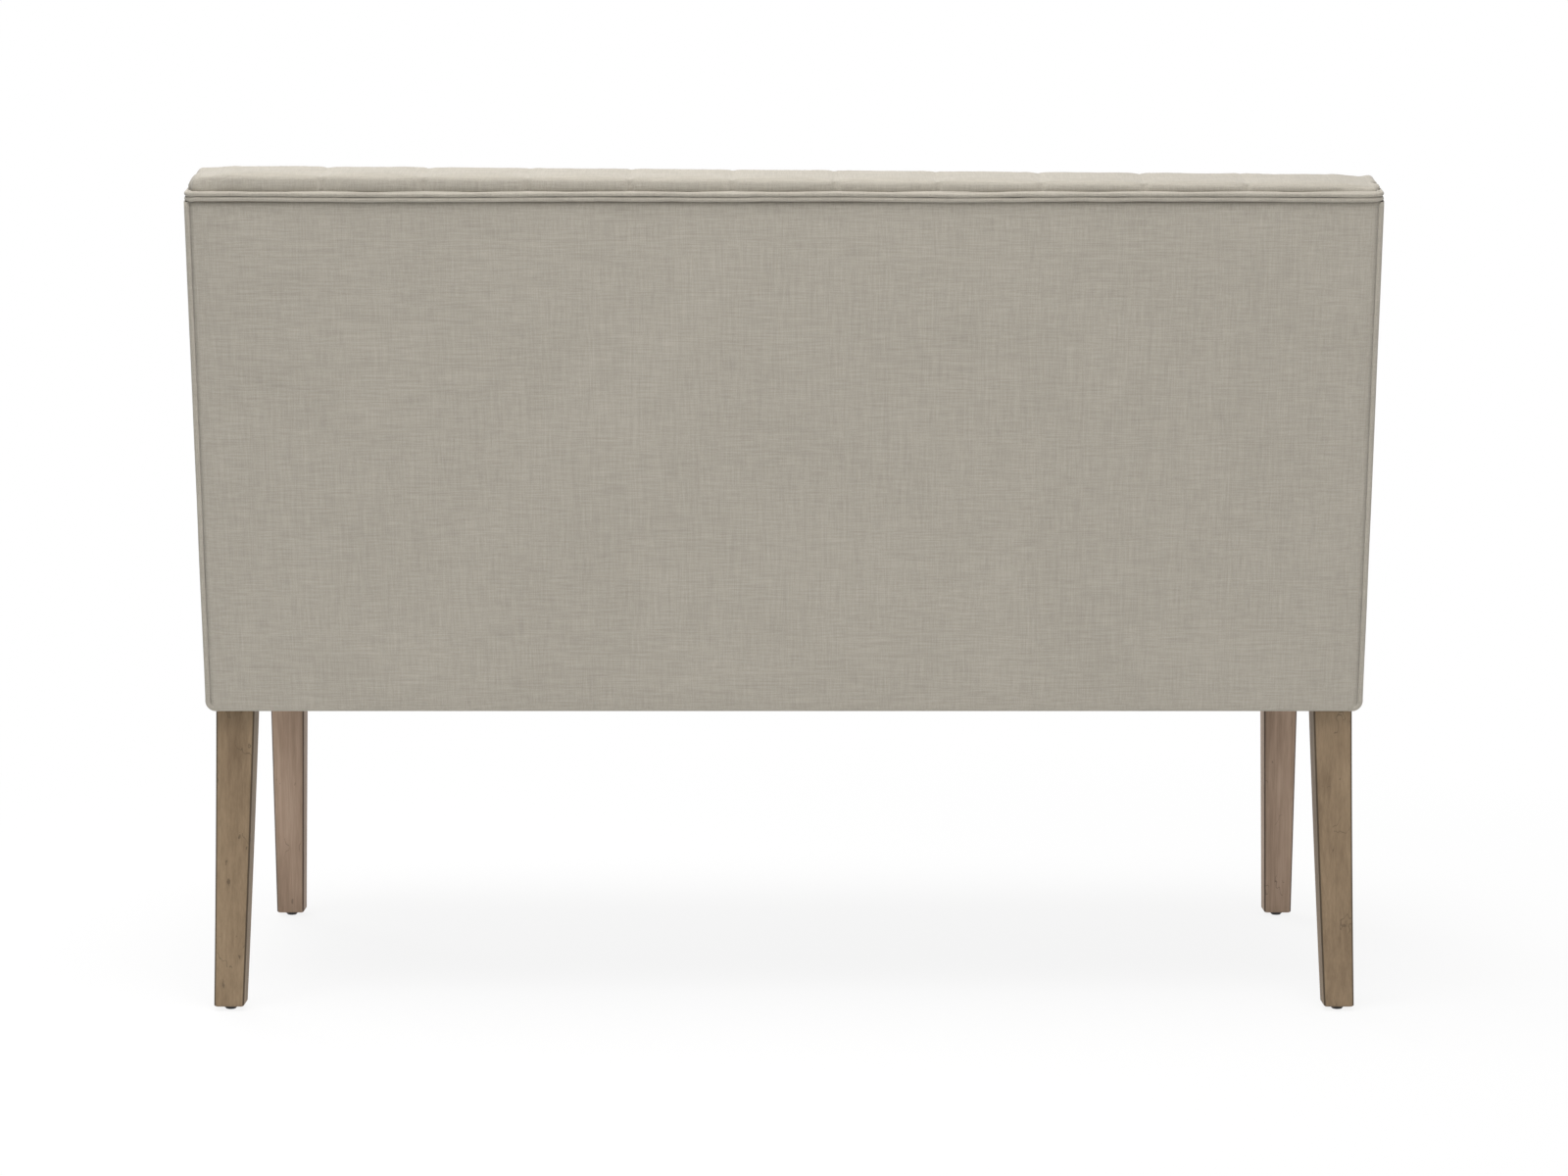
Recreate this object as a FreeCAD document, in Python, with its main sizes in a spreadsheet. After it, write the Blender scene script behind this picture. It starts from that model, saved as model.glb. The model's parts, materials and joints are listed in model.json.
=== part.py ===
import FreeCAD, Part
import math
import os
import Sketcher

# Driving dimensions, in millimetres, degrees and counts
DIMENSIONS = {
    # Overall
    "overall_width": 1320,
    "overall_depth": 668,
    "overall_height": 953,
    "back_lean": 9.75,
    "seat_height": 500,
    # Legs and glides
    "leg_length": 336,
    "leg_top_width": 44,
    "leg_foot_width": 34,
    "leg_arris": 1.8,
    "leg_foot_bevel": 1.5,
    "front_leg_side_inset": 5.5,
    "front_leg_front_inset": 8.5,
    "front_leg_outer_taper": 4,
    "rear_leg_side_inset": 10.5,
    "rear_leg_back_inset": 12,
    "rear_leg_sweep": 52,
    "rear_leg_bow": 3.5,
    "rear_leg_runs": 6,
    "glide_height": 5,
    "glide_diameter": 18,
    "glide_foot_diameter": 11,
    "glide_rim": 1.2,
    "nail_diameter": 2.5,
    "nail_length": 18,
    "nail_cover": 2,
    # Leg fixing
    "bolt_diameter": 8,
    "bolt_leg_depth": 40,
    "insert_diameter": 12,
    "insert_length": 16,
    "leg_dowel_diameter": 8,
    "leg_dowel_length": 24,
    "leg_dowel_offset": 13,
    # Wooden frame
    "post_width": 45,
    "post_depth": 38,
    "rail_height": 90,
    "rail_thickness": 22,
    "cross_rail_spacing": 440,
    "cross_rail_height": 60,
    "top_rail_height": 60,
    "lower_rail_height": 50,
    "lower_rail_rise": 130,
    "stile_column": 1.75,
    "board_thickness": 5,
    "board_margin": 2,
    "tenon_length": 36,
    "tenon_thickness": 10,
    "tenon_width": 50,
    "small_tenon_width": 28,
    "fit": 0.1,
    "block_height": 60,
    "block_rise": 14,
    "block_width": 40,
    "block_clearance": 4,
    "screw_diameter": 5,
    "screw_length": 30,
    "screw_head_diameter": 9,
    "screw_head_height": 3,
    "screw_seat": 14,
    # Upholstery layers
    "fabric_thickness": 1.5,
    "side_padding": 8.5,
    "front_padding": 8.5,
    "batting_thickness": 4,
    "card_thickness": 2,
    "hem_drop": 2,
    "hem_radius": 12,
    "hem_return": 10,
    "side_wrap": 6,
    "side_lap": 1.4,
    "soft_clearance": 0.3,
    "webbing_width": 50,
    "webbing_thickness": 1.5,
    "cross_straps": 9,
    "long_straps": 3,
    "dust_cover_thickness": 0.8,
    # Seat cushion
    "seat_crown": 9,
    "seat_edge_radius": 26,
    "seat_corner_radius": 20,
    # Back cushion
    "back_foam_thickness": 50,
    "top_pad_rise": 13,
    "back_roll_radius": 42,
    "pad_end_inset": 6,
    "pad_corner_radius": 30,
    "pad_side_draw": 3,
    "welt_diameter": 5.5,
    "welt_turn_radius": 9,
    # Diamond tufting
    "tuft_pitch": 113,
    "tuft_row_pitch": 100,
    "tuft_top_drop": 108,
    "tuft_columns": 10,
    "tuft_depth": 24,
    "tuft_mouth_radius": 30,
    "pleat_depth": 13,
    "pleat_half_width": 34,
    "crest_pleat_depth": 1.5,
    "crest_pleat_half_width": 8,
    "button_diameter": 24,
    "button_crown_diameter": 14,
    "button_height": 8,
    "tie_diameter": 2.4,
    "tie_washer_diameter": 9,
    "tie_washer_thickness": 2,
    "tie_hole_diameter": 5,
}

X_AXIS = FreeCAD.Vector(1, 0, 0)
ROD_SIDES = 8
TIE_SIDES = 4
BUTTON_SIDES = 12
DIMPLE_SIDES = 6
SIDES = {"left": -1, "right": 1}

DOC = FreeCAD.newDocument("upholstered_bench")
SHEET = DOC.addObject("Spreadsheet::Sheet", "dims")
for row, (alias, size) in enumerate(DIMENSIONS.items(), start=1):
    SHEET.set(f"A{row}", alias.replace("_", " "))
    SHEET.set(f"B{row}", str(size))
    SHEET.setAlias(f"B{row}", alias)
DOC.recompute()

# Heights and depths worked out from the sheet, in the room's frame
SIN = "sin(dims.back_lean * 1 deg)"
COS = "cos(dims.back_lean * 1 deg)"
TAN = "tan(dims.back_lean * 1 deg)"
HALF = "(dims.overall_width / 2)"
FRAME_HALF = f"({HALF} - dims.fabric_thickness - dims.side_padding)"
POST_INNER = f"({FRAME_HALF} - dims.post_width)"
RAIL_INNER = f"({FRAME_HALF} - dims.rail_thickness)"
SEAT_FRONT = "(-dims.overall_depth / 2)"
FRAME_FRONT = f"({SEAT_FRONT} + dims.fabric_thickness + dims.front_padding)"
RAIL_BACK = f"({FRAME_FRONT} + dims.rail_thickness)"
FRAME_BOTTOM = "(dims.glide_height + dims.leg_length)"
HEM = f"({FRAME_BOTTOM} - dims.hem_drop)"
RAIL_TOP = f"({FRAME_BOTTOM} + dims.rail_height)"
RAIL_MIDDLE = f"({FRAME_BOTTOM} + dims.rail_height / 2)"
WEBBING_TOP = f"({RAIL_TOP} + 2 * dims.webbing_thickness)"

# Depths through the leaning back, measured forward from its outside face
POST_BACK = "(-dims.fabric_thickness - dims.batting_thickness - dims.card_thickness)"
POST_FRONT = f"({POST_BACK} - dims.post_depth)"
POST_MIDDLE = f"({POST_BACK} - dims.post_depth / 2)"
REAR_RAIL_FRONT = f"({POST_BACK} - dims.rail_thickness)"
BOARD_FRONT = f"({POST_FRONT} - dims.board_thickness)"
PAD_FRONT = f"({BOARD_FRONT} - dims.back_foam_thickness - dims.fabric_thickness)"
SEAT_BACK = f"({PAD_FRONT} - dims.soft_clearance)"
BUTTON_SEAT = f"({PAD_FRONT} + dims.tuft_depth)"
WELT_DEPTH = "(dims.welt_diameter / 2 - dims.fabric_thickness)"
SIDE_FRONT = f"({POST_FRONT} - dims.side_lap)"
SIDE_WELT = f"({SIDE_FRONT} - dims.welt_diameter - dims.soft_clearance)"

# Heights along the leaning back, measured up its slope from the hem
ROLL = "dims.back_roll_radius"
PAD_TOP = f"((dims.overall_height - {HEM} - {ROLL} + ({PAD_FRONT} + {ROLL}) * {SIN}) / {COS} + {ROLL})"
FRAME_TOP = f"({PAD_TOP} - dims.top_pad_rise)"
WELT_HEIGHT = f"({FRAME_TOP} - dims.welt_diameter)"
PANEL_TOP = f"({WELT_HEIGHT} - dims.welt_diameter - dims.soft_clearance)"
PAD_BOTTOM = f"(({WEBBING_TOP} - {HEM}) / {COS})"
TOP_RAIL_BOTTOM = f"({FRAME_TOP} - dims.top_rail_height)"
LOWER_RAIL_TOP = "(dims.lower_rail_rise + dims.lower_rail_height)"

# Where the outside face of the back meets the hem, front to back
WELT_RADIUS = "(dims.welt_diameter / 2)"
WELT_REACH = f"({WELT_DEPTH} * {COS} + ({WELT_HEIGHT} + {WELT_RADIUS}) * {SIN} + {WELT_RADIUS})"
BACK_Y = f"(dims.overall_depth / 2 - {WELT_REACH})"


def value(expression):
    """Gives the present value of an expression of the sheet's cells."""
    return float(SHEET.evalExpression(expression))


def on_plane(depth, height):
    """Gives the room's y of a plane at some depth through the leaning back, at a height above the floor."""
    return f"({BACK_Y} + (({height}) - {HEM}) * {TAN} + ({depth}) / {COS})"


def mirrored(side, x, width="0"):
    """Gives the lower x of a span that starts at x on the right, or of its mirror image on the left."""
    return f"({x})" if side > 0 else f"(-({x}) - ({width}))"


def place(piece, x, y, z, turn="0", leaning=False):
    """Binds a piece's place and its turn about X, in the room's frame or in the leaning back's frame."""
    if leaning:
        x, y, z = x, f"{BACK_Y} + ({y}) * {COS} + ({z}) * {SIN}", f"{HEM} - ({y}) * {SIN} + ({z}) * {COS}"
        turn = f"({turn}) - dims.back_lean"
    if turn != "0":
        piece.Placement = FreeCAD.Placement(FreeCAD.Vector(), FreeCAD.Rotation(X_AXIS, -1))
        piece.setExpression("Placement.Rotation.Angle", turn)
    for axis, expression in zip("xyz", (x, y, z)):
        piece.setExpression(f"Placement.Base.{axis}", expression)


def box(name, size, corner, leaning=False):
    """Makes a block of some size with its lowest corner at a place."""
    piece = DOC.addObject("Part::Box", name)
    for prop, expression in zip(("Length", "Width", "Height"), size):
        piece.setExpression(prop, expression)
    place(piece, *corner, leaning=leaning)
    return piece


def rod(name, radius, length, start, axis, leaning=False, sides=ROD_SIDES):
    """Makes a many-sided rod from a starting point along x, y or z, or along the leaning back's y."""
    piece = DOC.addObject("Part::Prism", name)
    piece.Polygon = sides
    piece.setExpression("Circumradius", radius)
    piece.setExpression("Height", length)
    if axis == "x":
        place(piece, *start)
        piece.Placement.Rotation = FreeCAD.Rotation(FreeCAD.Vector(0, 1, 0), 90)
    else:
        place(piece, *start, turn="-90" if axis == "y" else "0", leaning=leaning)
    return piece


def group(name, members):
    """Gathers separate solids in one compound."""
    piece = DOC.addObject("Part::Compound", name)
    piece.Links = members
    return piece


def cut(name, base, tools):
    """Cuts the tools out of a base."""
    piece = DOC.addObject("Part::Cut", name)
    piece.Base = base
    piece.Tool = tools[0] if len(tools) == 1 else group(name + "_tools", tools)
    return piece


def fuse(name, members):
    """Joins touching shapes in one solid."""
    piece = DOC.addObject("Part::MultiFuse", name)
    piece.Shapes = members
    return piece


def new_body(name):
    """Starts a body."""
    return DOC.addObject("PartDesign::Body", name)


def sketch_on(body, role, offset="0"):
    """Starts a sketch on one of the body's own origin planes, moved along the plane's normal."""
    sketch = body.newObject("Sketcher::SketchObject", body.Name + "_sketch")
    plane = next(feature for feature in body.Origin.OriginFeatures if feature.Role == role)
    sketch.AttachmentSupport = (plane, [""])
    sketch.MapMode = "FlatFace"
    sketch.setExpression("AttachmentOffset.Base.z", offset)
    return sketch


def draw_outline(sketch, corners):
    """Draws a closed outline of straight sides through corners given as pairs of expressions."""
    points = [FreeCAD.Vector(value(x), value(y), 0) for x, y in corners]
    for side, start in enumerate(points):
        sketch.addGeometry(Part.LineSegment(start, points[(side + 1) % len(points)]))
    for side, (x, y) in enumerate(corners):
        sketch.addConstraint(Sketcher.Constraint("Coincident", side, 2, (side + 1) % len(points), 1))
        for kind, expression in (("DistanceX", x), ("DistanceY", y)):
            number = sketch.addConstraint(Sketcher.Constraint(kind, -1, 1, side, 1, value(expression)))
            sketch.setExpression(f"Constraints[{number}]", expression)


def pad(body, sketch, length):
    """Extrudes a sketch along its plane's normal."""
    feature = body.newObject("PartDesign::Pad", body.Name + "_pad")
    feature.Profile = sketch
    feature.setExpression("Length", length)
    DOC.recompute()
    return feature


def profile_body(name, role, offset, length, corners):
    """Makes a body by extruding one outline from a plane."""
    body = new_body(name)
    sketch = sketch_on(body, role, offset)
    draw_outline(sketch, corners)
    pad(body, sketch, length)
    return body


# Loose tenons of the wooden frame: each has a mortise of its own shape in the two pieces that it joins
TENONS = []
HOLES = {}


def tenon(first, second, centre, sizes, leaning=False):
    """Puts a loose tenon of some size across the joint between two pieces, with its middle at a centre."""
    number = len(TENONS)
    for name, extra in ((f"tenon_{number}", "0"), (f"mortise_{number}", "2 * dims.fit")):
        size = [f"({length} + {extra})" for length in sizes]
        corner = [f"({middle}) - {length} / 2" for middle, length in zip(centre, size)]
        piece = box(name, size, corner, leaning)
        if extra == "0":
            TENONS.append(piece)
        else:
            HOLES.setdefault(first, []).append(piece)
            HOLES.setdefault(second, []).append(piece)


def drilled(label, base):
    """Finishes a wooden piece by cutting the holes that its joints put in it."""
    holes = HOLES.get(label)
    piece = cut(label, base, holes) if holes else base
    piece.Label = label
    SUBPARTS.append(piece)
    return piece


def keep(piece, label):
    """Names a finished piece and keeps it as a sub-part."""
    piece.Label = label
    SUBPARTS.append(piece)
    return piece


SUBPARTS = []


def leg_width(share):
    """Gives a leg's width at a share of the way down from its top."""
    return f"(dims.leg_top_width - (dims.leg_top_width - dims.leg_foot_width) * {share})"


def leg_centre(row, side, share=0):
    """Gives the place of a leg's axis at a share of the way down from its top."""
    half = f"{leg_width(share)} / 2"
    if row == "front":
        x = f"{HALF} - dims.front_leg_side_inset - dims.front_leg_outer_taper * {share} - {half}"
        y = f"{SEAT_FRONT} + dims.front_leg_front_inset + {half}"
    else:
        x = f"{HALF} - dims.rear_leg_side_inset - {half}"
        swept = f"dims.rear_leg_sweep * {share} - dims.rear_leg_bow * {4 * share * (1 - share)}"
        y = f"{on_plane('0', FRAME_BOTTOM)} - dims.rear_leg_back_inset + {swept} - {half}"
    return mirrored(side, x), f"({y})"


def leg_section(centre, width):
    """Gives the corners of a leg's square section about a centre, with its arrises eased."""
    x, y = centre
    half = f"{width} / 2"
    flat = f"({width} / 2 - dims.leg_arris)"
    return [
        (f"{x} - {flat}", f"{y} - {half}"),
        (f"{x} + {flat}", f"{y} - {half}"),
        (f"{x} + {half}", f"{y} - {flat}"),
        (f"{x} + {half}", f"{y} + {flat}"),
        (f"{x} + {flat}", f"{y} + {half}"),
        (f"{x} - {flat}", f"{y} + {half}"),
        (f"{x} - {half}", f"{y} + {flat}"),
        (f"{x} - {half}", f"{y} - {flat}"),
    ]


def leg_body(name, row, side):
    """Lofts a leg from its bevelled foot to its wider top, straight in front and swept behind."""
    body = new_body(name)
    foot = leg_centre(row, side, 1)
    bevel = "dims.leg_foot_bevel"
    stations = [
        ("dims.glide_height", foot, f"({leg_width(1)} - 2 * {bevel})"),
        (f"dims.glide_height + {bevel}", foot, leg_width(1)),
    ]
    runs = 1 if row == "front" else int(value("dims.rear_leg_runs"))
    for share in (1 - (number + 1) / runs for number in range(runs)):
        height = f"{FRAME_BOTTOM} - dims.leg_length * {share}"
        stations.append((height, leg_centre(row, side, share), leg_width(share)))
    sections = []
    for height, centre, width in stations:
        sketch = sketch_on(body, "XY_Plane", height)
        draw_outline(sketch, leg_section(centre, width))
        sections.append(sketch)
    loft = body.newObject("PartDesign::AdditiveLoft", name + "_loft")
    loft.Profile = sections[0]
    loft.Sections = sections[1:]
    loft.Ruled = True
    return body


def make_legs():
    """Makes the four legs, each bored for its bolt, its locating dowel and its glide's nail."""
    for row in ("front", "rear"):
        for hand, side in SIDES.items():
            label = f"{row}_{hand}_leg"
            body = leg_body(label + "_wood", row, side)
            x, y = leg_centre(row, side)
            foot_x, foot_y = leg_centre(row, side, 1)
            bolt_depth = "(dims.bolt_leg_depth + dims.fit)"
            dowel_depth = "(dims.leg_dowel_length / 2 + dims.fit)"
            nail_depth = "(dims.nail_length + dims.nail_cover - dims.glide_height + dims.fit)"
            holes = [
                rod(
                    label + "_bolt_hole",
                    "dims.bolt_diameter / 2 + dims.fit",
                    bolt_depth,
                    (x, y, f"{FRAME_BOTTOM} - {bolt_depth}"),
                    "z",
                ),
                rod(
                    label + "_dowel_hole",
                    "dims.leg_dowel_diameter / 2 + dims.fit",
                    dowel_depth,
                    (x, f"{y} + dims.leg_dowel_offset", f"{FRAME_BOTTOM} - {dowel_depth}"),
                    "z",
                ),
                rod(
                    label + "_nail_hole",
                    "dims.nail_diameter / 2 + dims.fit",
                    nail_depth,
                    (foot_x, foot_y, "dims.glide_height"),
                    "z",
                ),
            ]
            keep(cut(label, body, holes), label)


def make_glides():
    """Makes the nail-on glides, turned about an upright axis, and their nails."""
    glides = []
    nails = []
    foot = "dims.glide_foot_diameter / 2"
    rim = "dims.glide_diameter / 2"
    bore = "dims.nail_diameter / 2 + dims.fit"
    for row in ("front", "rear"):
        for hand, side in SIDES.items():
            label = f"{row}_{hand}_glide"
            x, y = leg_centre(row, side, 1)
            body = new_body(label)
            sketch = sketch_on(body, "XZ_Plane")
            outline = [
                ("0", "0"),
                (foot, "0"),
                (rim, "dims.glide_height - dims.glide_rim"),
                (rim, "dims.glide_height"),
                (bore, "dims.glide_height"),
                (bore, "dims.nail_cover"),
                ("0", "dims.nail_cover"),
            ]
            draw_outline(sketch, outline)
            turning = body.newObject("PartDesign::Revolution", label + "_turning")
            turning.Profile = sketch
            turning.ReferenceAxis = (sketch, ["V_Axis"])
            turning.Angle = 360
            place(body, x, y, "0")
            glides.append(body)
            start = (x, y, "dims.nail_cover")
            nails.append(rod(label + "_nail", "dims.nail_diameter / 2", "dims.nail_length", start, "z"))
    keep(group("leg_glides", glides), "leg_glides")
    keep(group("glide_nails", nails), "glide_nails")


def make_leg_fixings():
    """Makes the hanger bolts, threaded inserts and locating dowels, and bores the posts above for them."""
    bolts = []
    inserts = []
    pins = []
    for row in ("front", "rear"):
        for hand, side in SIDES.items():
            label = f"{row}_{hand}_corner_post" if row == "front" else f"{hand}_back_post"
            name = f"{row}_{hand}_bolt"
            x, y = leg_centre(row, side)
            bolts.append(
                rod(
                    name,
                    "dims.bolt_diameter / 2",
                    "dims.bolt_leg_depth + dims.insert_length",
                    (x, y, f"{FRAME_BOTTOM} - dims.bolt_leg_depth"),
                    "z",
                )
            )
            top = (x, y, FRAME_BOTTOM)
            length = "dims.insert_length"
            sleeve = rod(name + "_sleeve", "dims.insert_diameter / 2", length, top, "z")
            thread = rod(name + "_thread", "dims.bolt_diameter / 2 + dims.fit", length, top, "z")
            inserts.append(cut(name + "_insert", sleeve, [thread]))
            pin_y = f"{y} + dims.leg_dowel_offset"
            pins.append(
                rod(
                    name + "_pin",
                    "dims.leg_dowel_diameter / 2",
                    "dims.leg_dowel_length",
                    (x, pin_y, f"{FRAME_BOTTOM} - dims.leg_dowel_length / 2"),
                    "z",
                )
            )
            insert_bore = rod(
                name + "_insert_bore",
                "dims.insert_diameter / 2 + dims.fit",
                "dims.insert_length + dims.fit",
                top,
                "z",
            )
            pin_bore = rod(
                name + "_pin_bore",
                "dims.leg_dowel_diameter / 2 + dims.fit",
                "dims.leg_dowel_length / 2 + dims.fit",
                (x, pin_y, FRAME_BOTTOM),
                "z",
            )
            HOLES.setdefault(label, []).extend([insert_bore, pin_bore])
    keep(group("leg_hanger_bolts", bolts), "leg_hanger_bolts")
    keep(group("leg_thread_inserts", inserts), "leg_thread_inserts")
    keep(group("leg_locating_dowels", pins), "leg_locating_dowels")


def place_tenons():
    """Puts a loose tenon in each joint of the seat frame and of the back frame."""
    long = "dims.tenon_length"
    thick = "dims.tenon_thickness"
    wide = "dims.tenon_width"
    small = "dims.small_tenon_width"
    rear_depth = f"{POST_BACK} - dims.rail_thickness / 2"
    rear_rise = f"({RAIL_MIDDLE} - {HEM} + ({rear_depth}) * {SIN}) / {COS}"
    lower_rise = "dims.lower_rail_rise + dims.lower_rail_height / 2"
    upper_rise = f"{FRAME_TOP} - dims.top_rail_height / 2"
    cross_z = f"{FRAME_BOTTOM} + dims.cross_rail_height / 2"
    front_y = f"{FRAME_FRONT} + dims.rail_thickness / 2"
    for hand, side in SIDES.items():
        front_post = f"front_{hand}_corner_post"
        back_post = f"{hand}_back_post"
        side_rail = f"{hand}_side_rail"
        cross_rail = f"{hand}_cross_rail"
        stile = f"{hand}_back_stile"
        inner = mirrored(side, POST_INNER)
        rail_x = mirrored(side, f"{FRAME_HALF} - dims.rail_thickness / 2")
        cross_x = mirrored(side, "dims.cross_rail_spacing / 2")
        stile_x = mirrored(side, "dims.stile_column * dims.tuft_pitch")
        tenon("front_rail", front_post, (inner, front_y, RAIL_MIDDLE), (long, thick, wide))
        tenon("rear_rail", back_post, (inner, rear_depth, rear_rise), (long, thick, wide), True)
        post_face = f"{FRAME_FRONT} + dims.post_width"
        tenon(side_rail, front_post, (rail_x, post_face, RAIL_MIDDLE), (thick, long, wide))
        back_face = on_plane(POST_FRONT, RAIL_MIDDLE)
        tenon(side_rail, back_post, (rail_x, back_face, RAIL_MIDDLE), (thick, long, wide))
        tenon("front_rail", cross_rail, (cross_x, RAIL_BACK, cross_z), (thick, long, small))
        cross_end = on_plane(REAR_RAIL_FRONT, cross_z)
        tenon("rear_rail", cross_rail, (cross_x, cross_end, cross_z), (thick, long, small))
        tenon("back_lower_rail", back_post, (inner, POST_MIDDLE, lower_rise), (long, thick, small), True)
        tenon("back_top_rail", back_post, (inner, POST_MIDDLE, upper_rise), (long, thick, small), True)
        tenon("back_lower_rail", stile, (stile_x, POST_MIDDLE, LOWER_RAIL_TOP), (small, thick, long), True)
        tenon("back_top_rail", stile, (stile_x, POST_MIDDLE, TOP_RAIL_BOTTOM), (small, thick, long), True)


def slanted(front, bottom, top, depth):
    """Gives the side outline of a seat piece that runs back to a plane of the leaning back."""
    return [(front, bottom), (on_plane(depth, bottom), bottom), (on_plane(depth, top), top), (front, top)]


def make_seat_frame():
    """Makes the seat's rails and front corner posts."""
    span = f"2 * {POST_INNER}"
    front = box(
        "front_rail_wood",
        (span, "dims.rail_thickness", "dims.rail_height"),
        (f"-{POST_INNER}", FRAME_FRONT, FRAME_BOTTOM),
    )
    drilled("front_rail", front)
    rear_section = [
        (on_plane(REAR_RAIL_FRONT, FRAME_BOTTOM), FRAME_BOTTOM),
        (on_plane(POST_BACK, FRAME_BOTTOM), FRAME_BOTTOM),
        (on_plane(POST_BACK, RAIL_TOP), RAIL_TOP),
        (on_plane(REAR_RAIL_FRONT, RAIL_TOP), RAIL_TOP),
    ]
    drilled("rear_rail", profile_body("rear_rail_wood", "YZ_Plane", f"-{POST_INNER}", span, rear_section))
    cross_top = f"({FRAME_BOTTOM} + dims.cross_rail_height)"
    cross_outline = slanted(RAIL_BACK, FRAME_BOTTOM, cross_top, REAR_RAIL_FRONT)
    side_outline = slanted(f"{FRAME_FRONT} + dims.post_width", FRAME_BOTTOM, RAIL_TOP, POST_FRONT)
    thickness = "dims.rail_thickness"
    for hand, side in SIDES.items():
        cross_x = mirrored(side, "(dims.cross_rail_spacing - dims.rail_thickness) / 2", thickness)
        cross = profile_body(f"{hand}_cross_rail_wood", "YZ_Plane", cross_x, thickness, cross_outline)
        drilled(f"{hand}_cross_rail", cross)
        side_x = mirrored(side, RAIL_INNER, thickness)
        rail = profile_body(f"{hand}_side_rail_wood", "YZ_Plane", side_x, thickness, side_outline)
        drilled(f"{hand}_side_rail", rail)
        post = box(
            f"front_{hand}_corner_post_wood",
            ("dims.post_width", "dims.post_width", "dims.rail_height"),
            (mirrored(side, POST_INNER, "dims.post_width"), FRAME_FRONT, FRAME_BOTTOM),
        )
        drilled(f"front_{hand}_corner_post", post)


def make_back_frame():
    """Makes the leaning posts, rails and stiles of the back."""

    def leaning_point(depth, height):
        return (
            f"{BACK_Y} + ({depth}) * {COS} + ({height}) * {SIN}",
            f"{HEM} - ({depth}) * {SIN} + ({height}) * {COS}",
        )

    post_outline = [
        (on_plane(POST_FRONT, FRAME_BOTTOM), FRAME_BOTTOM),
        (on_plane(POST_BACK, FRAME_BOTTOM), FRAME_BOTTOM),
        leaning_point(POST_BACK, FRAME_TOP),
        leaning_point(POST_FRONT, FRAME_TOP),
    ]
    stile_x = "(dims.stile_column * dims.tuft_pitch - dims.post_width / 2)"
    for hand, side in SIDES.items():
        post_x = mirrored(side, POST_INNER, "dims.post_width")
        post = profile_body(f"{hand}_back_post_wood", "YZ_Plane", post_x, "dims.post_width", post_outline)
        drilled(f"{hand}_back_post", post)
        stile = box(
            f"{hand}_back_stile_wood",
            ("dims.post_width", "dims.post_depth", f"{TOP_RAIL_BOTTOM} - {LOWER_RAIL_TOP}"),
            (mirrored(side, stile_x, "dims.post_width"), POST_FRONT, LOWER_RAIL_TOP),
            leaning=True,
        )
        drilled(f"{hand}_back_stile", stile)
    for label, height, rise in (
        ("back_lower_rail", "dims.lower_rail_height", "dims.lower_rail_rise"),
        ("back_top_rail", "dims.top_rail_height", TOP_RAIL_BOTTOM),
    ):
        rail = box(
            label + "_wood",
            (f"2 * {POST_INNER}", "dims.post_depth", height),
            (f"-{POST_INNER}", POST_FRONT, rise),
            leaning=True,
        )
        drilled(label, rail)


def corner_screw(name, seat, axis, way):
    """Makes a screw along x or y, up (1) or down (-1) the axis, and the stepped hole that it needs."""
    along = "xy".index(axis)

    def stage(suffix, radius, near, far):
        start = list(seat)
        start[along] = f"{seat[along]} + ({near if way > 0 else '-(' + far + ')'})"
        return rod(f"{name}_{suffix}", radius, f"({far}) - ({near})", start, axis)

    head = "dims.screw_head_height"
    shank = stage("shank", "dims.screw_diameter / 2", "0", "dims.screw_length - dims.screw_head_height")
    cap = stage("head", "dims.screw_head_diameter / 2", f"-{head}", "0")
    room_end = "dims.screw_length + dims.fit"
    room = stage("shank_room", "dims.screw_diameter / 2 + dims.fit", "-dims.fit", room_end)
    sink = stage("head_room", "dims.screw_head_diameter / 2 + dims.fit", "-dims.block_width", "0")
    return fuse(name, [shank, cap]), room, sink


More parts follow.
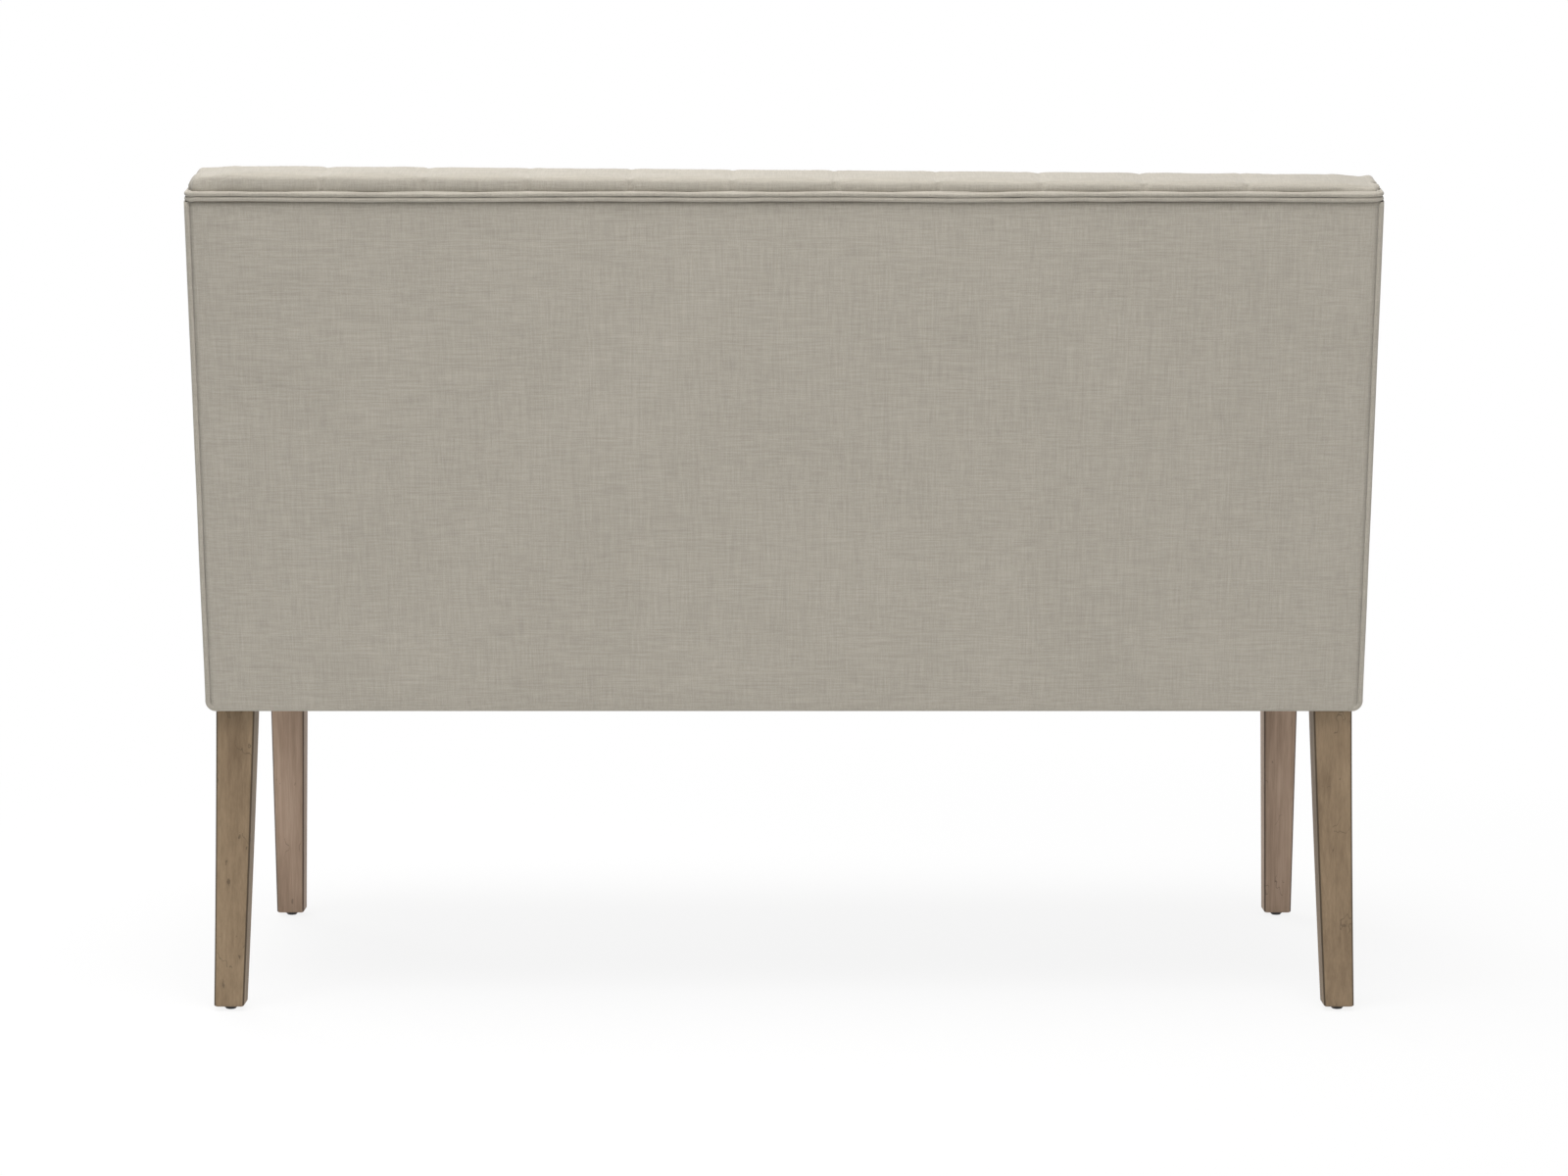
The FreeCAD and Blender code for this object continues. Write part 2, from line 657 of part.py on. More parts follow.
def make_corner_blocks():
    """Makes the diagonal blocks that brace the seat frame's corners, with a screw into each rail."""
    screws = []
    bottom = f"({FRAME_BOTTOM} + dims.block_rise)"
    middle = f"({bottom} + dims.block_height / 2)"
    for hand, side in SIDES.items():
        for row in ("front", "rear"):
            label = f"{row}_{hand}_corner_block"
            post_x = "(dims.post_width - dims.rail_thickness)"
            if row == "front":
                post_y = post_x
                wall = RAIL_BACK
                screw_wall = wall
                way = 1
            else:
                post_y = "(dims.post_depth - dims.rail_thickness)"
                wall = on_plane(REAR_RAIL_FRONT, bottom)
                screw_wall = on_plane(REAR_RAIL_FRONT, middle)
                way = -1
            near = f"({post_x} + {post_y} + dims.block_clearance)"
            far = f"({near} + dims.block_width)"
            mid = f"({near} + dims.block_width / 2)"
            behind = "dims.block_clearance" if row == "rear" else "0"
            ahead = f"{wall} + {behind} + dims.block_height * {TAN}" if row == "rear" else wall

            def corner(inward, y):
                return mirrored(side, f"{RAIL_INNER} - {inward}"), y

            sign = "+" if way > 0 else "-"
            outline = [
                corner(far, ahead),
                corner(far, wall),
                corner("0", f"{wall} {sign} {far}"),
                corner("0", f"{wall} {sign} {near}"),
                corner(near, wall),
                corner(near, ahead),
            ]
            if row == "front":
                outline = outline[1:5]
            block = profile_body(label + "_wood", "XY_Plane", bottom, "dims.block_height", outline)
            seat = "dims.screw_seat"
            into_cross = corner_screw(
                f"{label}_screw_a", (corner(mid, "0")[0], f"{screw_wall} {sign} {seat}", middle), "y", -way
            )
            into_side = corner_screw(
                f"{label}_screw_b", (corner(seat, "0")[0], f"{wall} {sign} {mid}", middle), "x", side
            )
            tools = [*into_cross[1:], *into_side[1:]]
            if row == "rear":
                tools.append(
                    box(
                        label + "_wall",
                        (f"2 * {HALF}", "dims.post_depth", "dims.overall_height"),
                        (f"-{HALF}", REAR_RAIL_FRONT, f"-{HEM}"),
                        leaning=True,
                    )
                )
            keep(cut(label, block, tools), label)
            screws.extend([into_cross[0], into_side[0]])
            HOLES.setdefault(f"{row}_rail", []).append(into_cross[1])
            HOLES.setdefault(f"{hand}_side_rail", []).append(into_side[1])
    keep(group("corner_block_screws", screws), "corner_block_screws")


def tuft_places():
    """Gives the row, place across and height up the slope of each button, in a diamond pattern."""
    columns = int(value("dims.tuft_columns"))
    places = []
    for tier in range(3):
        count = columns + tier % 2
        height = f"({PAD_TOP} - dims.tuft_top_drop - {tier} * dims.tuft_row_pitch)"
        for number in range(count):
            places.append((tier, f"({number - (count - 1) / 2} * dims.tuft_pitch)", height))
    return places


def make_tie_board():
    """Makes the ties that hold the buttons down and the bored board that takes them."""
    ties = []
    bores = []
    for number, (_, x, z) in enumerate(tuft_places()):
        for name, radius, start, length in (
            ("twine", "dims.tie_diameter / 2", BUTTON_SEAT, f"{POST_FRONT} - {BUTTON_SEAT}"),
            ("washer", "dims.tie_washer_diameter / 2", POST_FRONT, "dims.tie_washer_thickness"),
        ):
            ties.append(rod(f"tie_{number}_{name}", radius, length, (x, start, z), "y", True, TIE_SIDES))
        bores.append(
            rod(
                f"tie_{number}_bore",
                "dims.tie_hole_diameter / 2",
                "3 * dims.board_thickness",
                (x, f"{BOARD_FRONT} - dims.board_thickness", z),
                "y",
                True,
                TIE_SIDES,
            )
        )
    pairs = [fuse(f"tie_{number}", ties[2 * number : 2 * number + 2]) for number in range(len(bores))]
    keep(group("button_ties", pairs), "button_ties")
    board = box(
        "tufting_board_ply",
        (
            f"2 * ({FRAME_HALF} - dims.board_margin)",
            "dims.board_thickness",
            f"{FRAME_TOP} - {PAD_BOTTOM} - dims.board_margin",
        ),
        (f"-({FRAME_HALF} - dims.board_margin)", BOARD_FRONT, PAD_BOTTOM),
        leaning=True,
    )
    keep(cut("tufting_board", board, bores), "tufting_board")


def make_back_layers():
    """Makes the card and the batting that lie under the outside back panel."""
    for label, thickness, face in (
        ("outside_back_card", "dims.card_thickness", POST_BACK),
        ("outside_back_batting", "dims.batting_thickness", f"{POST_BACK} + dims.card_thickness"),
    ):
        layer = box(
            label,
            (f"2 * {FRAME_HALF}", thickness, f"{FRAME_TOP} - dims.hem_drop"),
            (f"-{FRAME_HALF}", face, "dims.hem_drop"),
            leaning=True,
        )
        keep(layer, label)


# Soft forms: each is the space that two or three rounded outlines share
CORNER_SHARE = 0.49
SWELL = 1 / (1 - CORNER_SHARE / 2)


def rounded_face(corners, axis, at):
    """Makes a flat face square to an axis from corners of two places and a radius."""

    def vector(first, second):
        places = [first, second]
        places.insert("xyz".index(axis), at)
        return FreeCAD.Vector(*places)

    points = [vector(first, second) for first, second, _ in corners]
    edges = []
    stations = []
    for number, (point, corner) in enumerate(zip(points, corners)):
        before = points[number - 1] - point
        after = points[(number + 1) % len(points)] - point
        room = CORNER_SHARE * min(before.Length, after.Length)
        half_angle = before.getAngle(after) / 2
        radius = min(corner[2], room * math.tan(half_angle))
        if radius <= 0:
            stations.append((point, None, point))
            continue
        before.normalize()
        after.normalize()
        reach = radius / math.tan(half_angle)
        inward = (before + after).normalize() * (radius / math.sin(half_angle) - radius)
        stations.append((point + before * reach, point + inward, point + after * reach))
    for number, (start, middle, end) in enumerate(stations):
        if middle is not None:
            edges.append(Part.Arc(start, middle, end).toShape())
        edges.append(Part.LineSegment(end, stations[(number + 1) % len(stations)][0]).toShape())
    return Part.Face(Part.Wire(edges))


def prism(corners, axis, start, end):
    """Extrudes a rounded outline along an axis."""
    way = FreeCAD.Vector(*[end - start if name == axis else 0 for name in "xyz"])
    return rounded_face(corners, axis, start).extrude(way)


def turned(rings, sides, centre):
    """Makes a many-sided turning about the leaning back's y axis from rings of a radius and a depth."""
    loops = []
    for radius, depth in rings:
        loop = []
        for number in range(sides):
            angle = 2 * math.pi * number / sides
            x = centre[0] + radius * math.cos(angle)
            z = centre[1] + radius * math.sin(angle)
            loop.append(FreeCAD.Vector(x, depth, z))
        loops.append(loop)
    outlines = [loops[0], loops[-1]]
    for near, far in zip(loops, loops[1:]):
        for number in range(sides):
            after = (number + 1) % sides
            outlines.append([near[number], near[after], far[after], far[number]])
    faces = [Part.Face(Part.makePolygon([*outline, outline[0]])) for outline in outlines]
    return Part.Solid(Part.Shell(faces))


def soft_piece(label, shape, placement=None):
    """Keeps a soft form as a sub-part."""
    piece = DOC.addObject("Part::Feature", label)
    piece.Shape = shape
    piece.Placement = placement or FreeCAD.Placement()
    return keep(piece, label)


def back_placement():
    """Gives the leaning back's frame: at the hem, on its outside face."""
    lean = FreeCAD.Rotation(X_AXIS, -value("dims.back_lean"))
    return FreeCAD.Placement(FreeCAD.Vector(0, value(BACK_Y), value(HEM)), lean)


def leaning_box(low, high):
    """Makes a block between two corners of the leaning back's frame, in the room's frame."""
    block = Part.makeBox(*(b - a for a, b in zip(low, high)), FreeCAD.Vector(*low))
    block.Placement = back_placement() * block.Placement
    return block


def leg_notches(rows):
    """Gives the shapes of the room left round the legs of some rows."""
    shapes = []
    for row in rows:
        for side in SIDES.values():
            x, y = (value(place_on) for place_on in leg_centre(row, side))
            half = value("dims.leg_top_width / 2 + dims.soft_clearance")
            drop = value("dims.hem_drop + dims.hem_radius")
            corner = FreeCAD.Vector(x - half, y - half, value(FRAME_BOTTOM) - drop)
            shapes.append(Part.makeBox(2 * half, 2 * half, drop, corner))
    return shapes


def seat_form(inset, spare):
    """Makes the seat's crowned envelope, drawn in by an inset and open behind by a spare length."""
    half = value(HALF) - inset
    front = value(SEAT_FRONT) + inset
    bottom = value(HEM) + inset
    top = value("dims.seat_height") - inset
    edge = top - value("dims.seat_crown")
    roll = value("dims.hem_radius") - inset
    shoulder = value("dims.seat_edge_radius") - inset
    corner = value("dims.seat_corner_radius") - inset
    gap = value("dims.soft_clearance")
    frame_of_back = back_placement()

    def under_cushion(depth):
        point = frame_of_back.multVec(FreeCAD.Vector(0, depth + spare, value(PAD_BOTTOM) - gap + spare))
        return point.y, point.z, 0

    back = value(on_plane(SEAT_BACK, str(edge))) + spare
    hem_back = value(on_plane(SIDE_FRONT, str(bottom))) - gap + spare
    middle = (front + back) / 2
    peak = edge + SWELL * value("dims.seat_crown")
    side_view = [
        (front, bottom, roll),
        (front, edge, shoulder),
        (middle, peak, math.inf),
        (back, edge, 0),
        under_cushion(value(SEAT_BACK)),
        under_cushion(value(SIDE_FRONT) - gap),
        (hem_back, bottom, 0),
    ]
    front_view = [
        (-half, bottom, roll),
        (half, bottom, roll),
        (half, edge, shoulder),
        (0, peak, math.inf),
        (-half, edge, shoulder),
    ]
    behind = value(BACK_Y)
    plan = [(-half, front, corner), (half, front, corner), (half, behind, 0), (-half, behind, 0)]
    form = prism(side_view, "x", -half, half)
    form = form.common(prism(front_view, "y", front, behind))
    return form.common(prism(plan, "z", bottom, peak))


def make_seat():
    """Makes the seat's foam, edge padding and cover."""
    fabric = value("dims.fabric_thickness")
    stuffing = seat_form(fabric, 0)
    below = Part.makeBox(
        value("dims.overall_width"),
        value("dims.overall_depth"),
        value(WEBBING_TOP),
        FreeCAD.Vector(-value(HALF), value(SEAT_FRONT), 0),
    )
    soft_piece("seat_foam", stuffing.cut(below))
    frame_half = value(FRAME_HALF)
    frame_space = Part.makeBox(
        2 * frame_half,
        value("dims.overall_depth"),
        value("dims.seat_height"),
        FreeCAD.Vector(-frame_half, value(FRAME_FRONT), 0),
    )
    soft_piece("seat_edge_padding", stuffing.common(below).cut([frame_space, *leg_notches(["front"])]))
    hem_return = value("dims.hem_return")
    opening = Part.makeBox(
        2 * (value(HALF) - hem_return),
        value("dims.overall_depth"),
        2 * fabric,
        FreeCAD.Vector(-value(HALF) + hem_return, value(SEAT_FRONT) + hem_return, value(HEM) - fabric / 2),
    )
    cover = seat_form(0, 0).cut([seat_form(fabric, fabric), opening, *leg_notches(["front"])])
    soft_piece("seat_cover", cover)


def back_form(inset, spare):
    """Makes the back cushion's envelope before tufting, in the leaning back's frame."""
    half = value(HALF) - value("dims.pad_end_inset") - inset
    front = value(PAD_FRONT) + inset
    bottom = value(PAD_BOTTOM) - spare
    top = value(PAD_TOP) - inset
    rear = -inset
    seat = value(FRAME_TOP) - spare
    board = value(BOARD_FRONT) + spare
    middle = (bottom + top) / 2
    waist = half - SWELL * value("dims.pad_side_draw")
    corner = value("dims.pad_corner_radius") - inset
    side_view = [
        (board, bottom, 0),
        (front, bottom, 0),
        (front, top, value("dims.back_roll_radius") - inset),
        (rear, top, value("dims.top_pad_rise") - inset),
        (rear, seat, 0),
        (board, seat, 0),
    ]
    front_view = [
        (-half, bottom, 0),
        (half, bottom, 0),
        (waist, middle, math.inf),
        (half, top, corner),
        (-half, top, corner),
        (-waist, middle, math.inf),
    ]
    plan = [(-half, front, corner), (half, front, corner), (half, 0, 0), (-half, 0, 0)]
    form = prism(side_view, "x", -half, half)
    form = form.common(prism(front_view, "y", front, 0))
    return form.common(prism(plan, "z", bottom, top))


def pleat_runs():
    """Gives the start and end of each pleat: in diamonds between buttons, and out to the edges."""
    columns = int(value("dims.tuft_columns"))
    tiers = {}
    for tier, x, z in tuft_places():
        tiers.setdefault(tier, []).append((value(x), value(z)))
    runs = []
    for outer in (0, 2):
        for number in range(columns):
            runs.append((tiers[outer][number], tiers[1][number]))
            runs.append((tiers[outer][number], tiers[1][number + 1]))
    runs += [(place_on, (place_on[0], value(PAD_TOP))) for place_on in tiers[0]]
    low = value(PAD_BOTTOM) - value("dims.tuft_depth")
    runs += [(place_on, (place_on[0], low)) for place_on in tiers[2]]
    half = value(HALF)
    runs += [(tiers[1][0], (-half, tiers[1][0][1])), (tiers[1][-1], (half, tiers[1][-1][1]))]
    return runs


def tuft_tools(grow):
    """Makes the hollows at the buttons and the pleats as one shape, grown by a layer's thickness."""
    face = value(PAD_FRONT)
    outside = face - value("dims.tuft_depth") / 2
    depth = value("dims.tuft_depth")
    seat_radius = value("dims.button_diameter / 2 + dims.fabric_thickness") + grow
    mouth_slope = (value("dims.tuft_mouth_radius") - value("dims.button_diameter / 2")) / depth
    reach = face + depth + grow - outside
    tools = []
    mouth = seat_radius + mouth_slope * reach
    for _, x, z in tuft_places():
        rings = [(seat_radius, outside + reach), (mouth, outside)]
        tools.append(turned(rings, DIMPLE_SIDES, (value(x), value(z))))
    pleat_depth = value("dims.pleat_depth")
    spread = value("dims.pleat_half_width") / pleat_depth
    apex = face + pleat_depth + grow * math.sqrt(1 + 1 / spread**2)
    for (x0, z0), (x1, z1) in pleat_runs():
        run = FreeCAD.Vector(x1 - x0, 0, z1 - z0)
        across = FreeCAD.Vector(-run.z, 0, run.x).normalize() * (spread * (apex - outside))
        start = FreeCAD.Vector(x0, outside, z0)
        valley = FreeCAD.Vector(x0, apex, z0)
        section = Part.makePolygon([start - across, valley, start + across, start - across])
        tools.append(Part.Face(section).extrude(run))
    crest = value(PAD_TOP)
    crest_depth = value("dims.crest_pleat_depth")
    crest_spread = value("dims.crest_pleat_half_width") / crest_depth
    valley = crest - crest_depth - grow
    crest_reach = value("(dims.tuft_columns + 1) / 2 * dims.tuft_pitch")
    crest_places = [value(x) for tier, x, _ in tuft_places() if tier == 0]
    for x in (-crest_reach, *crest_places, crest_reach):
        rise = crest + crest_depth
        across = crest_spread * (rise - valley)
        corners = [(x - across, rise, 0), (x, valley, 0), (x + across, rise, 0)]
        tools.append(prism(corners, "y", outside, value("dims.welt_diameter")))
    return tools[0].multiFuse(tools[1:])


def make_back_cushion():
    """Makes the tufted foam of the back and the cover drawn over it."""
    fabric = value("dims.fabric_thickness")
    tie_radius = value("dims.tie_diameter / 2 + dims.fit")
    seat = value(BUTTON_SEAT)
    tie_span = [(tie_radius, seat - value("dims.tuft_depth")), (tie_radius, value(POST_FRONT))]
    places = [(value(x), value(z)) for _, x, z in tuft_places()]
    holes = [turned(tie_span, TIE_SIDES, centre) for centre in places]
    grown_tools = tuft_tools(fabric)
    foam = back_form(fabric, 0).cut(grown_tools)
    cover_room = back_form(fabric, fabric).cut(grown_tools)
    cover = back_form(0, 0).cut(tuft_tools(0)).cut(cover_room).cut(holes)
    placement = back_placement()
    soft_piece("back_foam", foam.cut(holes), placement)
    soft_piece("inside_back_cover", cover, placement)
    rim = value("dims.button_diameter / 2")
    crown = value("dims.button_crown_diameter / 2")
    height = value("dims.button_height")
    rings = [(rim, seat), (rim, seat - height / 2), (crown, seat - height)]
    buttons = [turned(rings, BUTTON_SIDES, centre) for centre in places]
    soft_piece("back_buttons", Part.makeCompound(buttons), placement)


def panel_outline(inset):
    """Makes the upright prism whose edges are the outside back's silhouette, rounded at the hem."""
    half = value(HALF) - inset
    bottom = value(HEM) + inset
    roll = value("dims.hem_radius") - inset
    top = value("dims.overall_height")
    outline = [(-half, bottom, roll), (half, bottom, roll), (half, top, 0), (-half, top, 0)]
    return prism(outline, "y", 0, value("dims.overall_depth"))


def make_outside_covers():
    """Makes the outside back panel, the two side panels that wrap onto it and the padding under them."""
    fabric = value("dims.fabric_thickness")
    half = value(HALF)
    wrap = value("dims.side_wrap")
    gap = value("dims.soft_clearance")
    low = -value("dims.hem_radius")
    top = value(PANEL_TOP)
    front = value(SIDE_FRONT)
    outer = panel_outline(0)
    inner = panel_outline(fabric)
    skin = outer.cut(inner)
    panel = outer.common(leaning_box((-half + wrap, -fabric, low), (half - wrap, 0, top)))
    soft_piece("outside_back_panel", panel)
    frame_half = value(FRAME_HALF)
    hem_return = value("dims.hem_return")
    for hand, side in SIDES.items():

        def side_block(near, far, back, depth):
            low_x, high_x = sorted((side * near, side * far))
            return leaning_box((low_x, depth, low), (high_x, back, top))

        cheek = skin.common(side_block(half - hem_return, half, 0, front))
        lip = outer.common(side_block(half - wrap + gap, half, 0, -fabric))
        soft_piece(f"{hand}_side_panel", cheek.fuse(lip).removeSplitter())
        padding = inner.common(side_block(frame_half, half - fabric, -fabric, front))
        soft_piece(f"{hand}_side_padding", padding)


def welt_path(offset):
    """Gives one cord's line: up one side of the back, along its top rear edge and down the other side."""
    radius = value("dims.welt_diameter / 2")
    side = value(HALF) - radius
    depth = value(WELT_DEPTH)
    height = value(WELT_HEIGHT) + offset
    front = value(SIDE_WELT) - offset
    bottom = value(PAD_BOTTOM)
    turn = value("dims.welt_turn_radius")
    bend = turn + offset
    slant = 1 - math.sqrt(0.5)
    edges = []
    for hand in (-1, 1):
        points = [
            FreeCAD.Vector(hand * side, front, bottom),
            FreeCAD.Vector(hand * side, front, height - bend),
            FreeCAD.Vector(hand * side, front + bend * slant, height - bend * slant),
            FreeCAD.Vector(hand * side, front + bend, height),
            FreeCAD.Vector(hand * side, depth - turn, height),
            FreeCAD.Vector(hand * (side - turn * slant), depth - turn * slant, height),
            FreeCAD.Vector(hand * (side - turn), depth, height),
        ]
        edges += [
            Part.LineSegment(points[0], points[1]),
            Part.Arc(points[1], points[2], points[3]),
            Part.LineSegment(points[3], points[4]),
            Part.Arc(points[4], points[5], points[6]),
        ]
    across = side - turn
    edges.append(
        Part.LineSegment(FreeCAD.Vector(-across, depth, height), FreeCAD.Vector(across, depth, height))
    )
    return Part.Wire(Part.__sortEdges__([edge.toShape() for edge in edges]))


def make_welt():
    """Makes the double welt: two cords side by side round the rear edge of the inside back cover."""
    radius = value("dims.welt_diameter / 2")
    cords = []
    for offset in (-radius, radius):
        path = welt_path(offset)
        start = path.OrderedVertexes[0].Point
        corners = [
            start + FreeCAD.Vector(math.cos(turn), math.sin(turn), 0) * radius
            for turn in (2 * math.pi * number / ROD_SIDES for number in range(ROD_SIDES))
        ]
        ring = Part.makePolygon([*corners, corners[0]])
        cords.append(path.makePipeShell([ring], True, False))
    soft_piece("double_welt", Part.makeCompound(cords), back_placement())


def make_webbing():
    """Makes the seat's straps: straight front to back, and woven over and under from side to side."""
    width = value("dims.webbing_width")
    thickness = value("dims.webbing_thickness")
    low = value(RAIL_TOP)
    front = value(FRAME_FRONT)
    back = value(on_plane(REAR_RAIL_FRONT, RAIL_TOP)) + value("dims.rail_thickness") / 2
    inner = value(RAIL_INNER)
    cross_count = int(value("dims.cross_straps"))
    pitch = 2 * inner / (cross_count + 1)
    crossings = [(number + 1) * pitch - inner for number in range(cross_count)]
    straps = []
    for x in crossings:
        corner = FreeCAD.Vector(x - width / 2, front, low)
        straps.append(Part.makeBox(width, back - front, thickness, corner))
    soft_piece("seat_cross_webbing", Part.makeCompound(straps))
    end = value(FRAME_HALF)
    ramp = (pitch - width) / 2
    bands = []
    long_count = int(value("dims.long_straps"))
    clear_front = value(RAIL_BACK)
    clear_back = value(on_plane(BOARD_FRONT, RAIL_TOP))
    spacing = (clear_back - clear_front) / (long_count + 1)
    for band in range(long_count):
        line = [(-end, low), (-inner, low)]
        for number, x in enumerate(crossings):
            level = low + thickness if (number + band) % 2 == 0 else low - thickness
            line += [(x - width / 2 - ramp / 2, low), (x - width / 2, level), (x + width / 2, level)]
            line += [(x + width / 2 + ramp / 2, low)]
        line += [(inner, low), (end, low)]
        loop = line + [(x, z + thickness) for x, z in reversed(line)]
        y = clear_front + (band + 1) * spacing - width / 2
        points = [FreeCAD.Vector(x, y, z) for x, z in loop]
        outline = Part.makePolygon([*points, points[0]])
        bands.append(Part.Face(outline).extrude(FreeCAD.Vector(0, width, 0)))
    soft_piece("seat_long_webbing", Part.makeCompound(bands))


def make_dust_cover():
    """Makes the cloth that closes the underside, cut round the legs."""
    margin = value("dims.hem_return + 2 * dims.soft_clearance")
    half = value(HALF) - margin
    front = value(SEAT_FRONT) + margin
    thickness = value("dims.dust_cover_thickness")
    corner = FreeCAD.Vector(-half, front, value(FRAME_BOTTOM) - thickness)
    cloth = Part.makeBox(2 * half, value(on_plane(POST_BACK, HEM)) - front, thickness, corner)
    soft_piece("dust_cover", cloth.cut(leg_notches(["front", "rear"])))


make_leg_fixings()
place_tenons()
make_corner_blocks()
make_seat_frame()
make_back_frame()
keep(group("frame_loose_tenons", TENONS), "frame_loose_tenons")
make_legs()
make_glides()
make_tie_board()
make_back_layers()
make_webbing()
make_dust_cover()
make_seat()
make_back_cushion()
make_outside_covers()
make_welt()
DOC.recompute()

# Check every object, then write one file for each sub-part
for item in DOC.Objects:
    if "Invalid" in item.State or "Error" in item.State:
        raise RuntimeError(f"{item.Label} did not recompute: {item.State}")
for item in SUBPARTS:
    if item.Shape.isNull() or not item.Shape.isValid() or not item.Shape.Solids:
        raise RuntimeError(f"{item.Label} has no valid solid")
os.makedirs("parts", exist_ok=True)
for item in SUBPARTS:
    item.Shape.exportStep(f"parts/{item.Label}.step")
print(f"{len(SUBPARTS)} sub-parts written")
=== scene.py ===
import contextlib
import json
import math

import bmesh
import bpy
import numpy as np
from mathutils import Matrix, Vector, noise

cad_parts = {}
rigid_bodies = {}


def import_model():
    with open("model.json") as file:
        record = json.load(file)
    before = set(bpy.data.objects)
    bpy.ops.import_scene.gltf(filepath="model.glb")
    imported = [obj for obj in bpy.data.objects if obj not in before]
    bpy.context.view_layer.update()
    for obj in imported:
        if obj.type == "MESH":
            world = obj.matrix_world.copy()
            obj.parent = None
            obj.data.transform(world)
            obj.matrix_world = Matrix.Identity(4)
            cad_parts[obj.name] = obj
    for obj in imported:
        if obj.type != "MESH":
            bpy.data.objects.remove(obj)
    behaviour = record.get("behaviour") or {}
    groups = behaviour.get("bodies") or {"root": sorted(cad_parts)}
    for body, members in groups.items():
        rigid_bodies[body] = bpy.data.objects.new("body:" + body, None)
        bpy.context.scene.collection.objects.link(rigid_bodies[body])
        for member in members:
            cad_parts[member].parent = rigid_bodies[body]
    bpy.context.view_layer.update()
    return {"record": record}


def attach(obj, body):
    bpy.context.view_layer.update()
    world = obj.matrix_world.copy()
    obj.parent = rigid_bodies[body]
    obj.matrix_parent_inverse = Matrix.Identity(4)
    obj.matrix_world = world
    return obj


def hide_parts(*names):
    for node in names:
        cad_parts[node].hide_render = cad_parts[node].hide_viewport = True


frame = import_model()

# Sizes of the bench, in metres, as the solids have them
LEAN = math.radians(9.75)
SIN, COS, TAN = math.sin(LEAN), math.cos(LEAN), math.tan(LEAN)
BACK_Y = 0.22903
HEM = 0.339
HALF = 0.660
PAD_TOP = 0.61207
PAD_BOTTOM = 0.0964
PAD_HALF = 0.654
FRAME_TOP = 0.59907
WELT_RISE = 0.59357
WELT_RADIUS = 0.00275
PANEL_TOP = WELT_RISE - 0.0058
SIDE_FRONT = -0.0469
SEAT_FRONT = -0.334
SEAT_BACK_DEPTH = -0.1063
SEAT_TOP = 0.500
FABRIC = 0.0015
BUTTON_SEAT = -0.078
BUTTON_RADIUS = 0.012
BUTTON_HEIGHT = 0.008

# Buttons of the diamond tufting, across and up the slope of the back
TUFT_PITCH = 0.113
ROW_RISES = (PAD_TOP - 0.108, PAD_TOP - 0.208, PAD_TOP - 0.308)
ROWS = [
    [((n - (count - 1) / 2) * TUFT_PITCH, rise) for n in range(count)]
    for count, rise in zip((10, 11, 10), ROW_RISES)
]
BUTTONS = [button for row in ROWS for button in row]
CREST_LINES = [x for x, _ in ROWS[0]] + [-5.5 * TUFT_PITCH, 5.5 * TUFT_PITCH]

# Cloth thickness, seams and hems, in metres
CLOTH = 0.0012
LINING_CLOTH = 0.0005
SIDE_SEAM = 0.0062
HEM_RADIUS = 0.012
HEM_LAP = 0.004
PAD_TUCK = 0.006


def leaning(x, depth, rise):
    """Takes a place in the leaning back's frame to the room."""
    return (x, BACK_Y + depth * COS + rise * SIN, HEM - depth * SIN + rise * COS)


def upright(points):
    """Takes places in the room to the leaning back's frame."""
    y, z = points[:, 1] - BACK_Y, points[:, 2] - HEM
    return np.column_stack([points[:, 0], y * COS - z * SIN, y * SIN + z * COS])


def on_slope(x, depth, z):
    """Gives the room's place at a depth through the back and a height above the floor."""
    return (x, BACK_Y + (z - HEM) * TAN + depth / COS, z)


def ease(value, start, width):
    """Rises smoothly from 0 to 1 over a width that begins at a start."""
    share = np.clip((value - start) / width, 0.0, 1.0)
    return share * share * (3 - 2 * share)


def waves(points, scale, seed):
    """Gives smooth random waves at some places."""
    shift = Vector((seed * 7.3, seed * 3.1, seed * 5.7))
    return np.array([noise.noise(Vector(p) * scale + shift) for p in points])


def ripples(points, layers):
    """Adds up layers of waves, each given as its height, scale and seed."""
    return sum(height * waves(points, scale, seed) for height, scale, seed in layers)


def quarter_turn(steps, first=0):
    """Gives the sine and cosine at even steps of a quarter turn."""
    angles = [math.pi / 2 * step / steps for step in range(first, steps + 1)]
    return [(math.sin(angle), math.cos(angle)) for angle in angles]


def full_turn(steps):
    """Gives the sine and cosine at even steps of a full turn."""
    angles = [2 * math.pi * step / steps for step in range(steps)]
    return [(math.sin(angle), math.cos(angle)) for angle in angles]


# Meshes


def place_object(name, data):
    """Adds an object with some data to the scene."""
    piece = bpy.data.objects.new(name, data)
    bpy.context.scene.collection.objects.link(piece)
    return piece


def new_object(name, verts, faces):
    mesh = bpy.data.meshes.new(name)
    mesh.from_pydata([tuple(v) for v in verts], [], faces)
    mesh.validate()
    mesh.update()
    return place_object(name, mesh)


def shade_smooth(piece):
    piece.data.polygons.foreach_set("use_smooth", [True] * len(piece.data.polygons))
    piece.data.update()


def grid_faces(rows, columns, flip=False):
    faces = []
    for r in range(rows - 1):
        for c in range(columns - 1):
            a = r * columns + c
            face = (a, a + 1, a + columns + 1, a + columns)
            faces.append(face[::-1] if flip else face)
    return faces


def apply_modifiers(piece):
    """Turns what a piece's modifiers show into its mesh."""
    depsgraph = bpy.context.evaluated_depsgraph_get()
    mesh = bpy.data.meshes.new_from_object(piece.evaluated_get(depsgraph))
    old = piece.data
    piece.modifiers.clear()
    piece.data = mesh
    mesh.name = piece.name
    bpy.data.meshes.remove(old)


